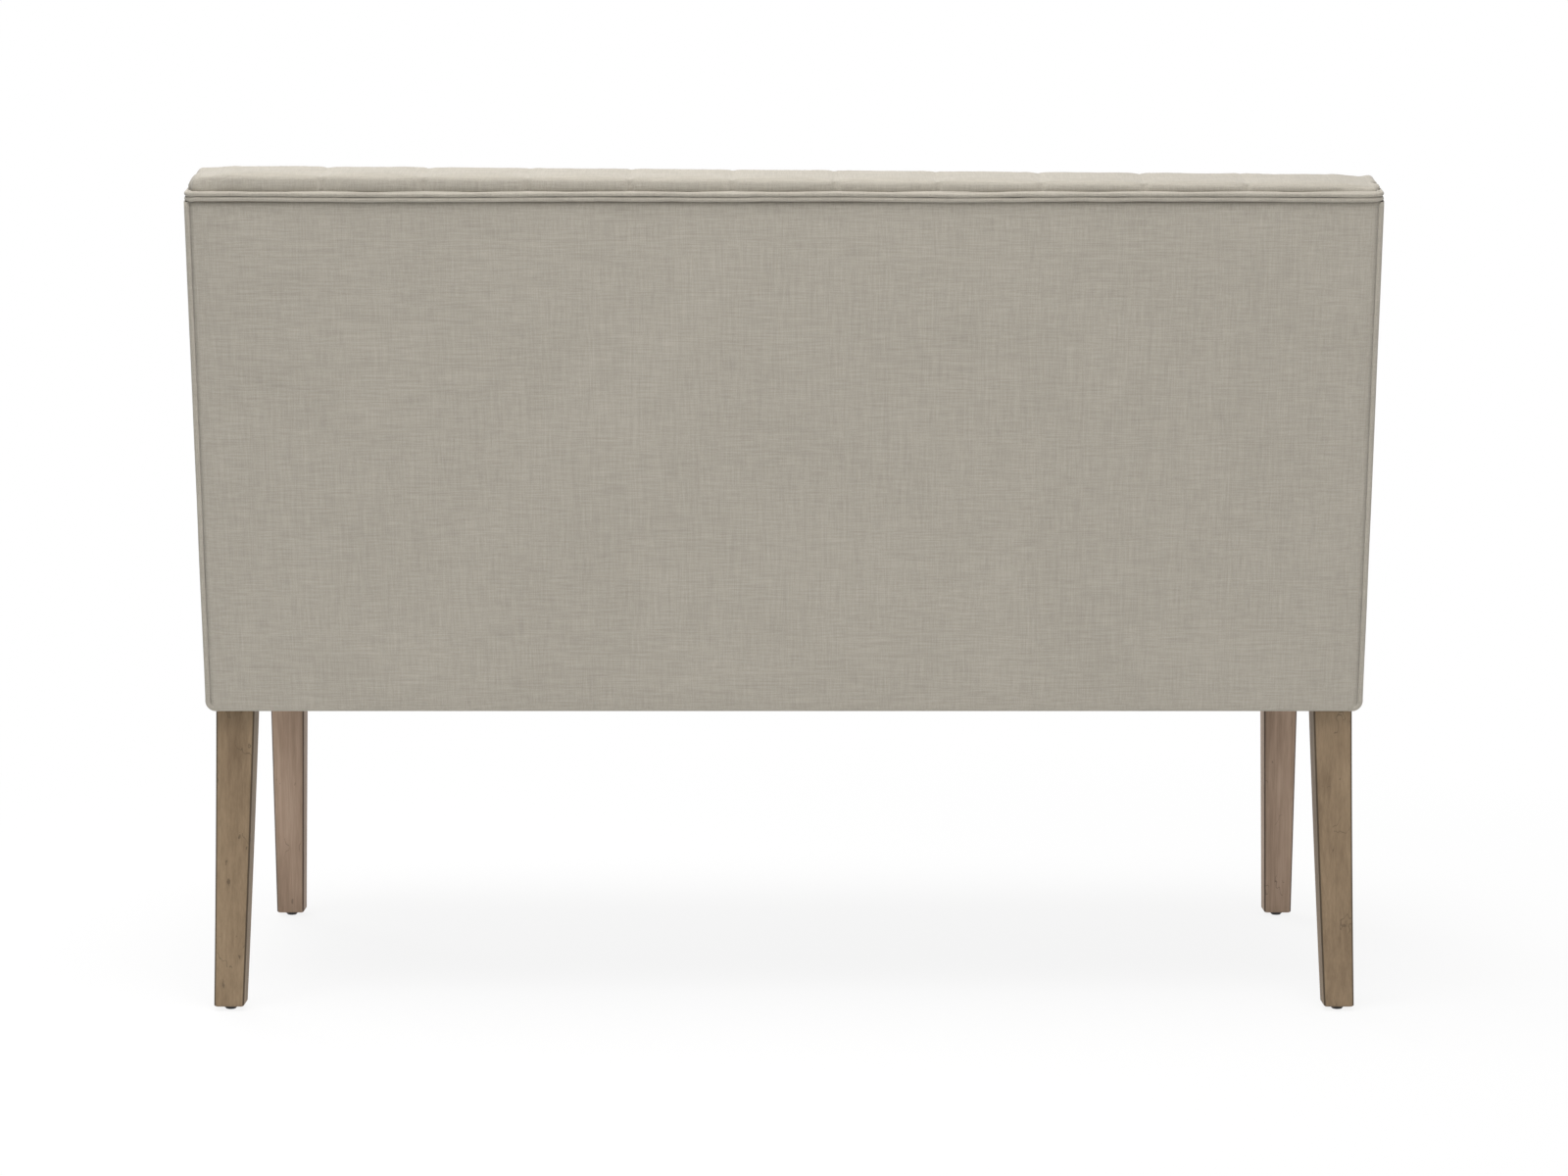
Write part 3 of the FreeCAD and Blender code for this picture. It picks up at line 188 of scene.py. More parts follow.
def thicken(piece, thickness):
    """Gives a sheet its thickness, inward from its outer face."""
    solid = piece.modifiers.new("thickness", "SOLIDIFY")
    solid.thickness = thickness
    solid.offset = -1
    apply_modifiers(piece)


def subdivide(piece):
    level = piece.modifiers.new("finer", "SUBSURF")
    level.levels = 1
    apply_modifiers(piece)


def evenly_meshed(name, mesh, voxel):
    """Makes a piece from a closed mesh and divides it into even small faces."""
    piece = place_object(name, mesh)
    remesh = piece.modifiers.new("even_mesh", "REMESH")
    remesh.mode = "VOXEL"
    remesh.voxel_size = voxel
    apply_modifiers(piece)
    return piece


def from_solid(name, node, voxel):
    """Starts a piece as an evenly meshed copy of a solid."""
    solid = bpy.data.objects[node]
    mesh = solid.data.copy()
    mesh.transform(solid.matrix_world)
    return evenly_meshed(name, mesh, voxel)


def coordinates(piece):
    values = np.empty(len(piece.data.vertices) * 3)
    piece.data.vertices.foreach_get("co", values)
    return values.reshape(-1, 3)


def normals(piece):
    values = np.empty(len(piece.data.vertices) * 3)
    piece.data.vertices.foreach_get("normal", values)
    return values.reshape(-1, 3)


def set_coordinates(piece, points):
    piece.data.vertices.foreach_set("co", np.asarray(points).reshape(-1))
    piece.data.update()


@contextlib.contextmanager
def edited(piece):
    """Opens a piece's mesh for edits and puts it back after them."""
    builder = bmesh.new()
    builder.from_mesh(piece.data)
    yield builder
    builder.to_mesh(piece.data)
    builder.free()


def keep_faces(piece, wanted):
    """Drops the faces whose middle and normal a test turns down."""
    with edited(piece) as builder:
        unwanted = [f for f in builder.faces if not wanted(f.calc_center_median(), f.normal)]
        bmesh.ops.delete(builder, geom=unwanted, context="FACES")


def weld(piece, distance):
    """Joins points that lie together and drops the faces that this leaves without a width."""
    with edited(piece) as builder:
        bmesh.ops.remove_doubles(builder, verts=builder.verts, dist=distance)
        bmesh.ops.dissolve_degenerate(builder, edges=builder.edges, dist=distance / 10)


def soften(piece, chosen, rounds):
    """Evens out the chosen points of a piece among their neighbours."""
    every_axis = {"use_axis_x": True, "use_axis_y": True, "use_axis_z": True}
    with edited(piece) as builder:
        builder.verts.ensure_lookup_table()
        verts = [builder.verts[number] for number in np.nonzero(chosen)[0].tolist()]
        for _ in range(rounds):
            bmesh.ops.smooth_vert(builder, verts=verts, factor=0.5, **every_axis)


# Materials


def new_material(name):
    material = bpy.data.materials.new(name)
    material.use_nodes = True
    nodes = material.node_tree.nodes
    return material, nodes, material.node_tree.links, nodes["Principled BSDF"]


def math_node(nodes, links, operation, first, second=None, third=None):
    node = nodes.new("ShaderNodeMath")
    node.operation = operation
    for socket, value in zip(node.inputs, (first, second, third)):
        if value is None:
            continue
        if isinstance(value, (int, float)):
            socket.default_value = value
        else:
            links.new(value, socket)
    return node.outputs[0]


def noise_node(nodes, links, coordinates, scale, detail, stretch=(1, 1, 1), offset=(0, 0, 0)):
    mapping = nodes.new("ShaderNodeMapping")
    mapping.inputs["Scale"].default_value = stretch
    mapping.inputs["Location"].default_value = offset
    links.new(coordinates, mapping.inputs["Vector"])
    texture = nodes.new("ShaderNodeTexNoise")
    texture.inputs["Scale"].default_value = scale
    texture.inputs["Detail"].default_value = detail
    links.new(mapping.outputs[0], texture.inputs["Vector"])
    return texture.outputs["Fac"]


def centred(nodes, links, value):
    """Moves a noise's middle from a half to nothing."""
    return math_node(nodes, links, "SUBTRACT", value, 0.5)


def ramp_node(nodes, links, factor, stops):
    ramp = nodes.new("ShaderNodeValToRGB")
    elements = ramp.color_ramp.elements
    while len(elements) < len(stops):
        elements.new(0.5)
    for element, (position, colour) in zip(elements, stops):
        element.position = position
        element.color = (*colour, 1)
    links.new(factor, ramp.inputs["Fac"])
    return ramp.outputs["Color"]


def mix_node(nodes, links, blend, factor, colour, other):
    """Mixes a fixed colour into another one by a factor."""
    mix = nodes.new("ShaderNodeMix")
    mix.data_type = "RGBA"
    mix.blend_type = blend
    links.new(factor, mix.inputs["Factor"])
    links.new(colour, mix.inputs["A"])
    mix.inputs["B"].default_value = (*other, 1)
    return mix.outputs["Result"]


def bump_node(nodes, links, shader, height, strength, distance):
    """Gives a shader its relief."""
    bump = nodes.new("ShaderNodeBump")
    bump.inputs["Strength"].default_value = strength
    bump.inputs["Distance"].default_value = distance
    links.new(height, bump.inputs["Height"])
    links.new(bump.outputs[0], shader.inputs["Normal"])
    return bump


def scaled(colour, factors):
    """Multiplies a colour's channels by factors, up to full brightness."""
    return tuple(min(1.0, c * f) for c, f in zip(colour, factors))


# Yarns of the weave: the noise's scale across a yarn and along it, and its share of the tone
YARNS = ((820.0, 42.0, 1.0), (330.0, 16.0, 0.38))


def linen(name, base, contrast, lean=0.0):
    """Makes a plain weave of slubby yarn along the room's axes, leaned with the piece in it."""
    fuzz_share, cloud_share, tint_share = 0.5, 0.16, 0.16
    material, nodes, links, shader = new_material(name)
    room = nodes.new("ShaderNodeTexCoord").outputs["Object"]
    straight = nodes.new("ShaderNodeVectorRotate")
    straight.rotation_type = "X_AXIS"
    straight.inputs["Angle"].default_value = lean
    links.new(room, straight.inputs["Vector"])
    where = straight.outputs[0]
    normal = nodes.new("ShaderNodeNewGeometry").outputs["True Normal"]
    split = nodes.new("ShaderNodeSeparateXYZ")
    links.new(normal, split.inputs[0])
    total = 0.0
    for axis in range(3):
        facing = math_node(nodes, links, "ABSOLUTE", split.outputs[axis])
        weight = math_node(nodes, links, "SUBTRACT", 1.0, facing)
        for across, along, share in YARNS:
            stretch = [across] * 3
            stretch[axis] = along
            offset = (axis * 3.7 + share,) * 3
            slub = noise_node(nodes, links, where, 1.0, 2.0, stretch, offset)
            part = math_node(nodes, links, "MULTIPLY", centred(nodes, links, slub), share)
            total = math_node(nodes, links, "MULTIPLY_ADD", part, weight, total)
    fuzz = centred(nodes, links, noise_node(nodes, links, where, scale=900.0, detail=1.0))
    total = math_node(nodes, links, "MULTIPLY_ADD", fuzz, fuzz_share, total)
    cloud = centred(nodes, links, noise_node(nodes, links, where, scale=9.0, detail=4.0))
    shade = math_node(nodes, links, "MULTIPLY_ADD", total, contrast, 0.5)
    shade = math_node(nodes, links, "MULTIPLY_ADD", cloud, cloud_share, shade)
    dark = scaled(base, (0.70, 0.70, 0.70))
    light = scaled(base, (1.30, 1.30, 1.32))
    colour = ramp_node(nodes, links, shade, [(0.0, dark), (0.5, base), (1.0, light)])
    tint = noise_node(nodes, links, where, scale=130.0, detail=2.0, offset=(9.1, 2.2, 4.4))
    tint = math_node(nodes, links, "MULTIPLY", tint, tint_share)
    warm = mix_node(nodes, links, "MULTIPLY", tint, colour, (1.0, 0.92, 0.84))
    links.new(warm, shader.inputs["Base Color"])
    shader.inputs["Roughness"].default_value = 0.92
    shader.inputs["Specular IOR Level"].default_value = 0.12
    shader.inputs["Sheen Weight"].default_value = 0.2
    shader.inputs["Sheen Roughness"].default_value = 0.5
    bump_node(nodes, links, shader, shade, strength=0.25, distance=0.0008)
    return material


def weathered_oak(name, base):
    """Makes stained oak: quiet grain along the legs, curling cracks, small dents, and painted shade
    that darkens the arrises.
    """
    crack_width, crack_patches, dent_level, arris_slant = 0.007, 0.60, 0.745, 0.3
    wear_share, darkening_share = 0.6, 0.78
    material, nodes, links, shader = new_material(name)
    where = nodes.new("ShaderNodeTexCoord").outputs["Object"]
    board = noise_node(nodes, links, where, 1.0, 3.0, stretch=(22.0, 22.0, 5.0))
    grain = noise_node(nodes, links, where, 1.0, 5.0, stretch=(240.0, 240.0, 8.0))
    pores = noise_node(nodes, links, where, 1.0, 3.0, stretch=(1000.0, 1000.0, 30.0))
    tone = math_node(nodes, links, "MULTIPLY", pores, 0.20)
    tone = math_node(nodes, links, "MULTIPLY_ADD", grain, 0.30, tone)
    tone = math_node(nodes, links, "MULTIPLY_ADD", board, 0.50, tone)
    dark = scaled(base, (0.52, 0.48, 0.44))
    light = scaled(base, (1.42, 1.48, 1.56))
    colour = ramp_node(nodes, links, tone, [(0.28, dark), (0.50, base), (0.72, light)])
    curls = noise_node(nodes, links, where, 1.0, 2.0, (55.0, 55.0, 30.0), (5.0, 1.0, 8.0))
    line = math_node(nodes, links, "ABSOLUTE", centred(nodes, links, curls))
    crack = math_node(nodes, links, "LESS_THAN", line, crack_width)
    patch = noise_node(nodes, links, where, 17.0, 1.0, offset=(2.0, 7.0, 0.35))
    cracked = math_node(nodes, links, "GREATER_THAN", patch, crack_patches)
    crack = math_node(nodes, links, "MULTIPLY", crack, cracked)
    dents = noise_node(nodes, links, where, 1.0, 2.0, (190.0, 190.0, 75.0), (5.0, 1.0, 8.0))
    dent = math_node(nodes, links, "GREATER_THAN", dents, dent_level)
    wear_and_edge_shade = math_node(nodes, links, "MAXIMUM", crack, dent)
    wear_and_edge_shade = math_node(nodes, links, "MULTIPLY", wear_and_edge_shade, wear_share)
    # Painted shade: faces turned diagonally in plan, the rounded arrises, are darkened along with the
    # cracks and dents
    split = nodes.new("ShaderNodeSeparateXYZ")
    links.new(nodes.new("ShaderNodeNewGeometry").outputs["True Normal"], split.inputs[0])
    slant = math_node(nodes, links, "MULTIPLY", split.outputs[0], split.outputs[1])
    slant = math_node(nodes, links, "ABSOLUTE", slant)
    shaded_arris = math_node(nodes, links, "GREATER_THAN", slant, arris_slant)
    wear_and_edge_shade = math_node(nodes, links, "MAXIMUM", wear_and_edge_shade, shaded_arris)
    # The darkening mixes in a dark brown: real cracks and dents, and painted shade on the arrises
    darkening = math_node(nodes, links, "MULTIPLY", wear_and_edge_shade, darkening_share)
    darkened_colour = mix_node(nodes, links, "MIX", darkening, colour, scaled(base, (0.16, 0.16, 0.16)))
    links.new(darkened_colour, shader.inputs["Base Color"])
    rough = math_node(nodes, links, "MULTIPLY_ADD", pores, 0.25, 0.46)
    links.new(rough, shader.inputs["Roughness"])
    shader.inputs["Specular IOR Level"].default_value = 0.3
    bevel = nodes.new("ShaderNodeBevel")
    bevel.samples = 6
    bevel.inputs["Radius"].default_value = 0.002
    relief = math_node(nodes, links, "SUBTRACT", tone, wear_and_edge_shade)
    bump = bump_node(nodes, links, shader, relief, strength=0.2, distance=0.0005)
    links.new(bevel.outputs[0], bump.inputs["Normal"])
    return material


def speckled(name, base, spread, scale, stretch, roughness, metallic=0.0, bump_size=0.0002):
    """Makes a plain material whose tone and relief vary with one noise."""
    material, nodes, links, shader = new_material(name)
    where = nodes.new("ShaderNodeTexCoord").outputs["Object"]
    value = noise_node(nodes, links, where, scale, 4.0, stretch)
    low = scaled(base, (1 - spread,) * 3)
    high = scaled(base, (1 + spread,) * 3)
    colour = ramp_node(nodes, links, value, [(0.3, low), (0.7, high)])
    links.new(colour, shader.inputs["Base Color"])
    shader.inputs["Roughness"].default_value = roughness
    shader.inputs["Metallic"].default_value = metallic
    bump_node(nodes, links, shader, value, strength=0.3, distance=bump_size)
    return material


GREIGE = (0.392, 0.364, 0.312)
EVEN = (1, 1, 1)
LINEN = linen("linen_greige", GREIGE, 0.62)
LINEN_BACK = linen("linen_greige_back", GREIGE, 0.62, LEAN)
LINEN_WELT = linen("linen_bias", GREIGE, 0.75, LEAN)
OAK_REAR = weathered_oak("weathered_oak_dark", (0.225, 0.158, 0.094))
# The front legs get a lighter copy of the same oak: painted light, standing in for light under the
# seat that the lamps don't give them
OAK_FRONT_PAINTED_LIT = weathered_oak("weathered_oak_painted_lit", (0.420, 0.298, 0.214))
BEECH = speckled("planed_beech", (0.55, 0.40, 0.26), 0.12, 1.0, (30.0, 30.0, 30.0), 0.6)
PLY = speckled("bare_ply", (0.60, 0.46, 0.30), 0.10, 1.0, (14.0, 60.0, 160.0), 0.65)
STEEL = speckled("zinc_plate", (0.60, 0.60, 0.62), 0.06, 260.0, EVEN, 0.35, metallic=1.0)
BLACK = speckled("moulded_black", (0.008, 0.008, 0.009), 0.30, 500.0, EVEN, 0.75)
LINING = speckled("lining_cloth", (0.030, 0.030, 0.032), 0.35, 420.0, EVEN, 0.95, bump_size=0.0005)
WEBBING = speckled("jute_webbing", (0.30, 0.23, 0.14), 0.25, 700.0, EVEN, 0.95, bump_size=0.0008)
CARD = speckled("pressed_card", (0.46, 0.36, 0.25), 0.10, 240.0, EVEN, 0.9)
WADDING = speckled("wadding", (0.80, 0.80, 0.77), 0.06, 300.0, EVEN, 1.0, bump_size=0.001)
FOAM = speckled("foam", (0.78, 0.72, 0.52), 0.07, 900.0, EVEN, 1.0)
TWINE = speckled("twine", (0.70, 0.64, 0.52), 0.15, 900.0, EVEN, 0.9)

SLOT_MATERIALS = {
    "cover_fabric": LINEN,
    "foam": FOAM,
    "batting": WADDING,
    "webbing": WEBBING,
    "lining": LINING,
    "twine": TWINE,
    "card": CARD,
    "leg_oak": OAK_REAR,
    "frame_beech": BEECH,
    "plywood": PLY,
    "steel": STEEL,
    "glide_plastic": BLACK,
}


def dress_nodes():
    """Gives every solid of the bench its material."""
    for row in frame["record"]["subparts"]:
        piece = bpy.data.objects[row["node"]]
        piece.data.materials.clear()
        # The front legs take the lighter copy of the oak, whose colour holds painted light
        painted_lit = row["node"] in ("front_left_leg", "front_right_leg")
        piece.data.materials.append(OAK_FRONT_PAINTED_LIT if painted_lit else SLOT_MATERIALS[row["material_slot"]])


def finish_piece(piece, material, replaced):
    """Gives a new piece its material, its body and the solids that it stands for."""
    piece.data.materials.clear()
    piece.data.materials.append(material)
    shade_smooth(piece)
    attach(piece, "root")
    if replaced:
        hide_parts(*replaced)


# Outside back and sides, in metres: the panel's padding, then a side's insets and depths
PANEL_UNDER = 0.016
CORNER_FADE = 0.03
PANEL_PUFF, PUFF_REACH = 0.0024, 0.03
SEAM_DIP, DIP_REACH = 0.0009, 0.004
PANEL_RIPPLES = ((0.0009, 5.0, 1), (0.0004, 17.0, 2))
SEAM_WRAP = [(SIDE_SEAM, -0.0009), (0.0054, -0.0002), (0.0040, 0.0003)]
EDGE_RADIUS, EDGE_PROUD = 0.0032, 0.0003
BAND_REAR = -0.0029
SIDE_BULGE, BULGE_REAR = 0.0006, 0.003
SIDE_RIPPLE = 0.0004
FRONT_WRAP = [(0.0004, SIDE_FRONT + 0.0005), (0.0025, SIDE_FRONT), (0.005, SIDE_FRONT)]


def outside_back():
    """Makes the plain outside back: tight cloth, slightly padded, turned under at the hem."""
    columns, rows = 260, 120
    half = HALF - SIDE_SEAM
    top = HEM + PANEL_TOP * COS
    xs = np.linspace(-half, half, columns)
    ladder = [(-PANEL_UNDER, HEM + 0.0006), (-HEM_LAP, HEM + 0.0003)]
    for sine, cosine in quarter_turn(5, first=1):
        ladder.append((-HEM_LAP * (1 - sine), HEM + HEM_LAP * (1 - cosine)))
    ladder += [(0.0, z) for z in np.linspace(HEM + HEM_LAP, top, rows)[1:]]
    points = []
    for depth, z in ladder:
        for x in xs:
            corner = max(0.0, abs(x) - (HALF - HEM_RADIUS))
            lift = HEM_RADIUS - math.sqrt(max(0.0, HEM_RADIUS**2 - corner**2))
            points.append((x, depth, z + lift * max(0.0, 1 - (z - HEM) / CORNER_FADE)))
    points = np.array(points)
    x, depth, z = points.T
    edge = np.minimum(half - np.abs(x), np.minimum(top - z, z - HEM))
    inside = np.clip(edge, 0, None)
    puff = PANEL_PUFF * (1 - np.exp(-inside / PUFF_REACH)) - SEAM_DIP * np.exp(-inside / DIP_REACH)
    ripple = ripples(points, PANEL_RIPPLES) * ease(edge, 0.0, 0.02)
    depth = depth + np.where(depth == 0.0, puff + ripple, 0.0)
    room = [on_slope(*place) for place in zip(x, depth, z)]
    piece = new_object("outside_back_cloth", room, grid_faces(len(ladder), columns, flip=True))
    thicken(piece, CLOTH)
    finish_piece(piece, LINEN_BACK, ["outside_back_panel", "outside_back_batting"])


def side_cloth(hand, side):
    """Makes a side panel's cloth, wrapped onto the back to its seam and rolled under at the hem."""
    wrap = list(SEAM_WRAP)
    for sine, cosine in quarter_turn(6):
        wrap.append((EDGE_RADIUS * (1 - sine), EDGE_PROUD - EDGE_RADIUS * (1 - cosine)))
    for depth in np.linspace(BAND_REAR, SIDE_FRONT + 0.002, 16)[1:]:
        turn = math.pi * (depth + BULGE_REAR) / (SIDE_FRONT + BULGE_REAR)
        wrap.append((-SIDE_BULGE * math.sin(turn), depth))
    wrap += FRONT_WRAP
    path = [((HALF - HEM_RADIUS) - HEM_LAP, 0.0, 0.0, -1.0)]
    for sine, cosine in quarter_turn(8):
        x = HALF - HEM_RADIUS + HEM_RADIUS * sine
        path.append((x, HEM_RADIUS * (1 - cosine), sine, -cosine))
    heights = np.linspace(0, 1, 90)[1:]
    verts = []
    for x, z, nx, nz in path:
        for inset, depth in wrap:
            verts.append(on_slope(side * (x - nx * inset), depth, HEM + z - nz * inset))
    for share in heights:
        for inset, depth in wrap:
            top = HEM - depth * SIN + PANEL_TOP * COS
            z = HEM + HEM_RADIUS + share * (top - HEM - HEM_RADIUS)
            ripple = SIDE_RIPPLE * noise.noise(Vector((side * 3.0, depth * 30, z * 9)))
            verts.append(on_slope(side * (HALF - inset + ripple), depth, z))
    faces = grid_faces(len(path) + len(heights), len(wrap), flip=side > 0)
    piece = new_object(f"{hand}_side_cloth", verts, faces)
    thicken(piece, CLOTH)
    finish_piece(piece, LINEN_BACK, [f"{hand}_side_panel", f"{hand}_side_padding"])


# Double welt, in metres: its bends, the cords' fit beside each other, and the flange behind them
WELT_TURN = 0.009
WELT_GAP = 0.0003
WELT_SWAY, FINE_SWAY = 0.0011, 0.0005
CORD_FIT = 0.985
FLANGE_INWARD, FLANGE_RADIUS = 0.0040, 0.0036
FLANGE_STEP = 0.0005


def welt_points(offset):
    """Gives the line of one cord of the welt, in the leaning back's frame, from foot to foot."""
    side = HALF - WELT_RADIUS
    depth = WELT_RADIUS - FABRIC
    rise = WELT_RISE + offset
    front = SIDE_FRONT - 2 * WELT_RADIUS - WELT_GAP - offset
    bend = WELT_TURN + offset
    corner = side - WELT_TURN
    half = [(side, front, z) for z in np.linspace(PAD_BOTTOM - PAD_TUCK, rise - bend, 60)]
    for sine, cosine in quarter_turn(8, first=1):
        half.append((side, front + bend * (1 - cosine), rise - bend + bend * sine))
    half += [(side, d, rise) for d in np.linspace(front + bend, depth - WELT_TURN, 10)[1:]]
    for sine, cosine in quarter_turn(8, first=1):
        half.append((side - WELT_TURN * (1 - cosine), depth - WELT_TURN + WELT_TURN * sine, rise))
    across = [(x, depth, rise) for x in np.linspace(corner, -corner, 240)[1:-1]]
    mirrored = [(-x, d, z) for x, d, z in reversed(half)]
    return half + across + mirrored


def tube(name, points, radius, sides):
    """Sweeps a round section along a line."""
    points = [Vector(p) for p in points]
    section = full_turn(sides)
    aside = Vector((0.31, 0.72, 0.62))
    verts = []
    for number, point in enumerate(points):
        ahead = points[min(number + 1, len(points) - 1)] - points[max(number - 1, 0)]
        ahead.normalize()
        first = ahead.cross(aside).normalized()
        second = ahead.cross(first)
        for sine, cosine in section:
            verts.append(point + (first * cosine + second * sine) * radius)
    faces = []
    for ring in range(len(points) - 1):
        for step in range(sides):
            after = (step + 1) % sides
            low = ring * sides
            faces.append((low + step, low + after, low + sides + after, low + sides + step))
    faces.append(tuple(range(sides))[::-1])
    last = (len(points) - 1) * sides
    faces.append(tuple(last + step for step in range(sides)))
    return new_object(name, verts, faces)


def double_welt():
    """Makes the welt's two cords, and behind them the flange that fills the gap to the pad."""
    cords = (("upper", WELT_RADIUS, ["double_welt"]), ("lower", -WELT_RADIUS, []))
    for label, offset, replaced in cords:
        line = []
        for x, depth, rise in welt_points(offset):
            sway = WELT_SWAY * noise.noise(Vector((x * 7, rise * 7, 1.7)))
            sway += FINE_SWAY * noise.noise(Vector((x * 29, rise * 29, 5 + offset * 400)))
            line.append(leaning(x, depth, rise + (sway if abs(x) < HALF - 0.01 else 0.0)))
        piece = tube(f"welt_{label}_cord", line, WELT_RADIUS * CORD_FIT, 12)
        finish_piece(piece, LINEN_WELT, replaced)
    side = HALF - WELT_RADIUS - FLANGE_INWARD
    back = WELT_RADIUS - FABRIC - FLANGE_INWARD
    lift = FRAME_TOP + 0.0003 - FLANGE_RADIUS - WELT_RISE
    flange = []
    for x, depth, rise in welt_points(0.0):
        point = Vector(leaning(min(max(x, -side), side), min(depth, back), rise + lift))
        if not flange or (point - flange[-1]).length > FLANGE_STEP:
            flange.append(point)
    piece = tube("welt_flange", flange, FLANGE_RADIUS, 10)
    finish_piece(piece, LINEN_WELT, [])


# Swelling cloth: the weights of points that are held fast and of those held loosely
HELD, EASED = 1.0, 0.6
SWELL_FRAMES = 10


def inflate(piece, pinned, pressure, limit):
    """Lets cloth swell under pressure between its pinned points, each as far as its limit."""
    start = coordinates(piece)
    group = piece.vertex_groups.new(name="pinned")
    for weight in (HELD, EASED):
        chosen = np.nonzero(np.isclose(pinned, weight))[0]
        group.add(chosen.tolist(), weight, "REPLACE")
    cloth = piece.modifiers.new("swell", "CLOTH")
    settings = cloth.settings
    settings.vertex_group_mass = "pinned"
    settings.quality = 3
    settings.mass = 0.4
    settings.tension_stiffness = 20
    settings.compression_stiffness = 20
    settings.shear_stiffness = 8
    settings.bending_stiffness = 0.4
    settings.use_pressure = True
    settings.uniform_pressure_force = pressure
    settings.effector_weights.gravity = 0
    cloth.collision_settings.use_collision = False
    cloth.point_cache.frame_start = 1
    cloth.point_cache.frame_end = SWELL_FRAMES
    for number in range(1, SWELL_FRAMES + 1):
        bpy.context.scene.frame_set(number)
    apply_modifiers(piece)
    bpy.context.scene.frame_set(1)
    moved = coordinates(piece) - start
    length = np.maximum(np.linalg.norm(moved, axis=1), 1e-9)
    set_coordinates(piece, start + moved * np.minimum(1.0, limit / length)[:, None])
    piece.vertex_groups.clear()


# Inside back, in metres: its swell, its folds, and how its edges and corners meet the welt
BACK_VOXEL = 0.0055
BACK_PRESSURE, BACK_SWELL = 6.0, 0.013
CREST_HOLD, END_HOLD = 0.008, 0.0115
PLEAT_DEPTH, PLEAT_WIDTH = 0.0045, 0.003
CREST_DEPTH, CREST_WIDTH = 0.0032, 0.0030
CREST_PUFF = 0.0012
CREASES, FINE_CREASES = 0.0010, 0.0005
TOP_TILT = 0.0105
TOP_LIFT = 0.006
CORNER_SPREAD, LOWER_SPREAD = 0.0085, 0.004
CORNER_STEPS = (0.0, 0.0055, 0.012, 0.018, 0.025, 0.034)
RIGHT_CORNER_LIFTS = (0.0075, 0.0070, 0.0022, -0.0012, -0.0014, 0.0)
LEFT_CORNER_LIFTS = (0.0048, 0.0042, 0.0, -0.0012, -0.0008, 0.0)
WELT_FRONT = SIDE_FRONT - 0.0113
WELT_BEND = 0.0145
WELT_INNER = HALF - 2 * WELT_RADIUS - 0.001


def segment_distance(x, z, start, end):
    """Gives the distance of places from a straight pleat."""
    ax, az = start
    dx, dz = end[0] - ax, end[1] - az
    share = np.clip(((x - ax) * dx + (z - az) * dz) / (dx * dx + dz * dz), 0, 1)
    return np.hypot(x - ax - share * dx, z - az - share * dz)


def pleats():
    """Gives the pleats of the inside back: diamonds between buttons, and out to the edges."""
    lines = []
    for outer in (0, 2):
        for number, button in enumerate(ROWS[outer]):
            lines.append((button, ROWS[1][number]))
            lines.append((button, ROWS[1][number + 1]))
    lines += [(button, (button[0], PAD_TOP + 0.05)) for button in ROWS[0]]
    lines += [(button, (button[0], PAD_BOTTOM)) for button in ROWS[2]]
    lines += [(ROWS[1][0], (-HALF, ROWS[1][0][1])), (ROWS[1][-1], (HALF, ROWS[1][-1][1]))]
    return lines


def cushion_fields(piece):
    """Gives what shapes the inside back, at each of its points.

    These are its places and normals, the distances to buttons, pleats and crest folds, and how far it
    faces the front and the top.
    """
    points, facing = coordinates(piece), normals(piece)
    x, z = points[:, 0], points[:, 2]
    button = np.min([np.hypot(x - bx, z - bz) for bx, bz in BUTTONS], axis=0)
    pleat = np.min([segment_distance(x, z, *line) for line in pleats()], axis=0)
    crest = np.min([np.abs(x - line) for line in CREST_LINES], axis=0)
    front = ease(-facing[:, 1], 0.2, 0.4)
    upper = ease(facing[:, 2], 0.1, 0.4) * ease(z, 0.5, 0.05)
    return points, facing, button, pleat, crest, front, upper


def swell_back(piece):
    """Swells the inside back between its buttons, its pleats and the edges where it is tacked."""
    points, _, button, pleat, crest, front, upper = cushion_fields(piece)
    x, depth, rise = points.T
    tacked = (rise < PAD_BOTTOM + 0.006) | ((depth > -0.058) & (rise < FRAME_TOP - 0.002))
    tacked |= (depth > -0.012) & (rise < FRAME_TOP + 0.007)
    tacked |= (button < 0.017) & (front > 0.5)
    pinned = np.where(tacked, HELD, 0.0)
    pinned[~tacked & (front > 0.5) & (pleat < 0.005)] = EASED
    pinned[~tacked & (upper > 0.5) & (crest < 0.004)] = EASED
    ends = ease(np.abs(x), 0.62, 0.03)
    limit = BACK_SWELL - np.maximum(CREST_HOLD * upper, END_HOLD * ends)
    inflate(piece, pinned, BACK_PRESSURE, limit)


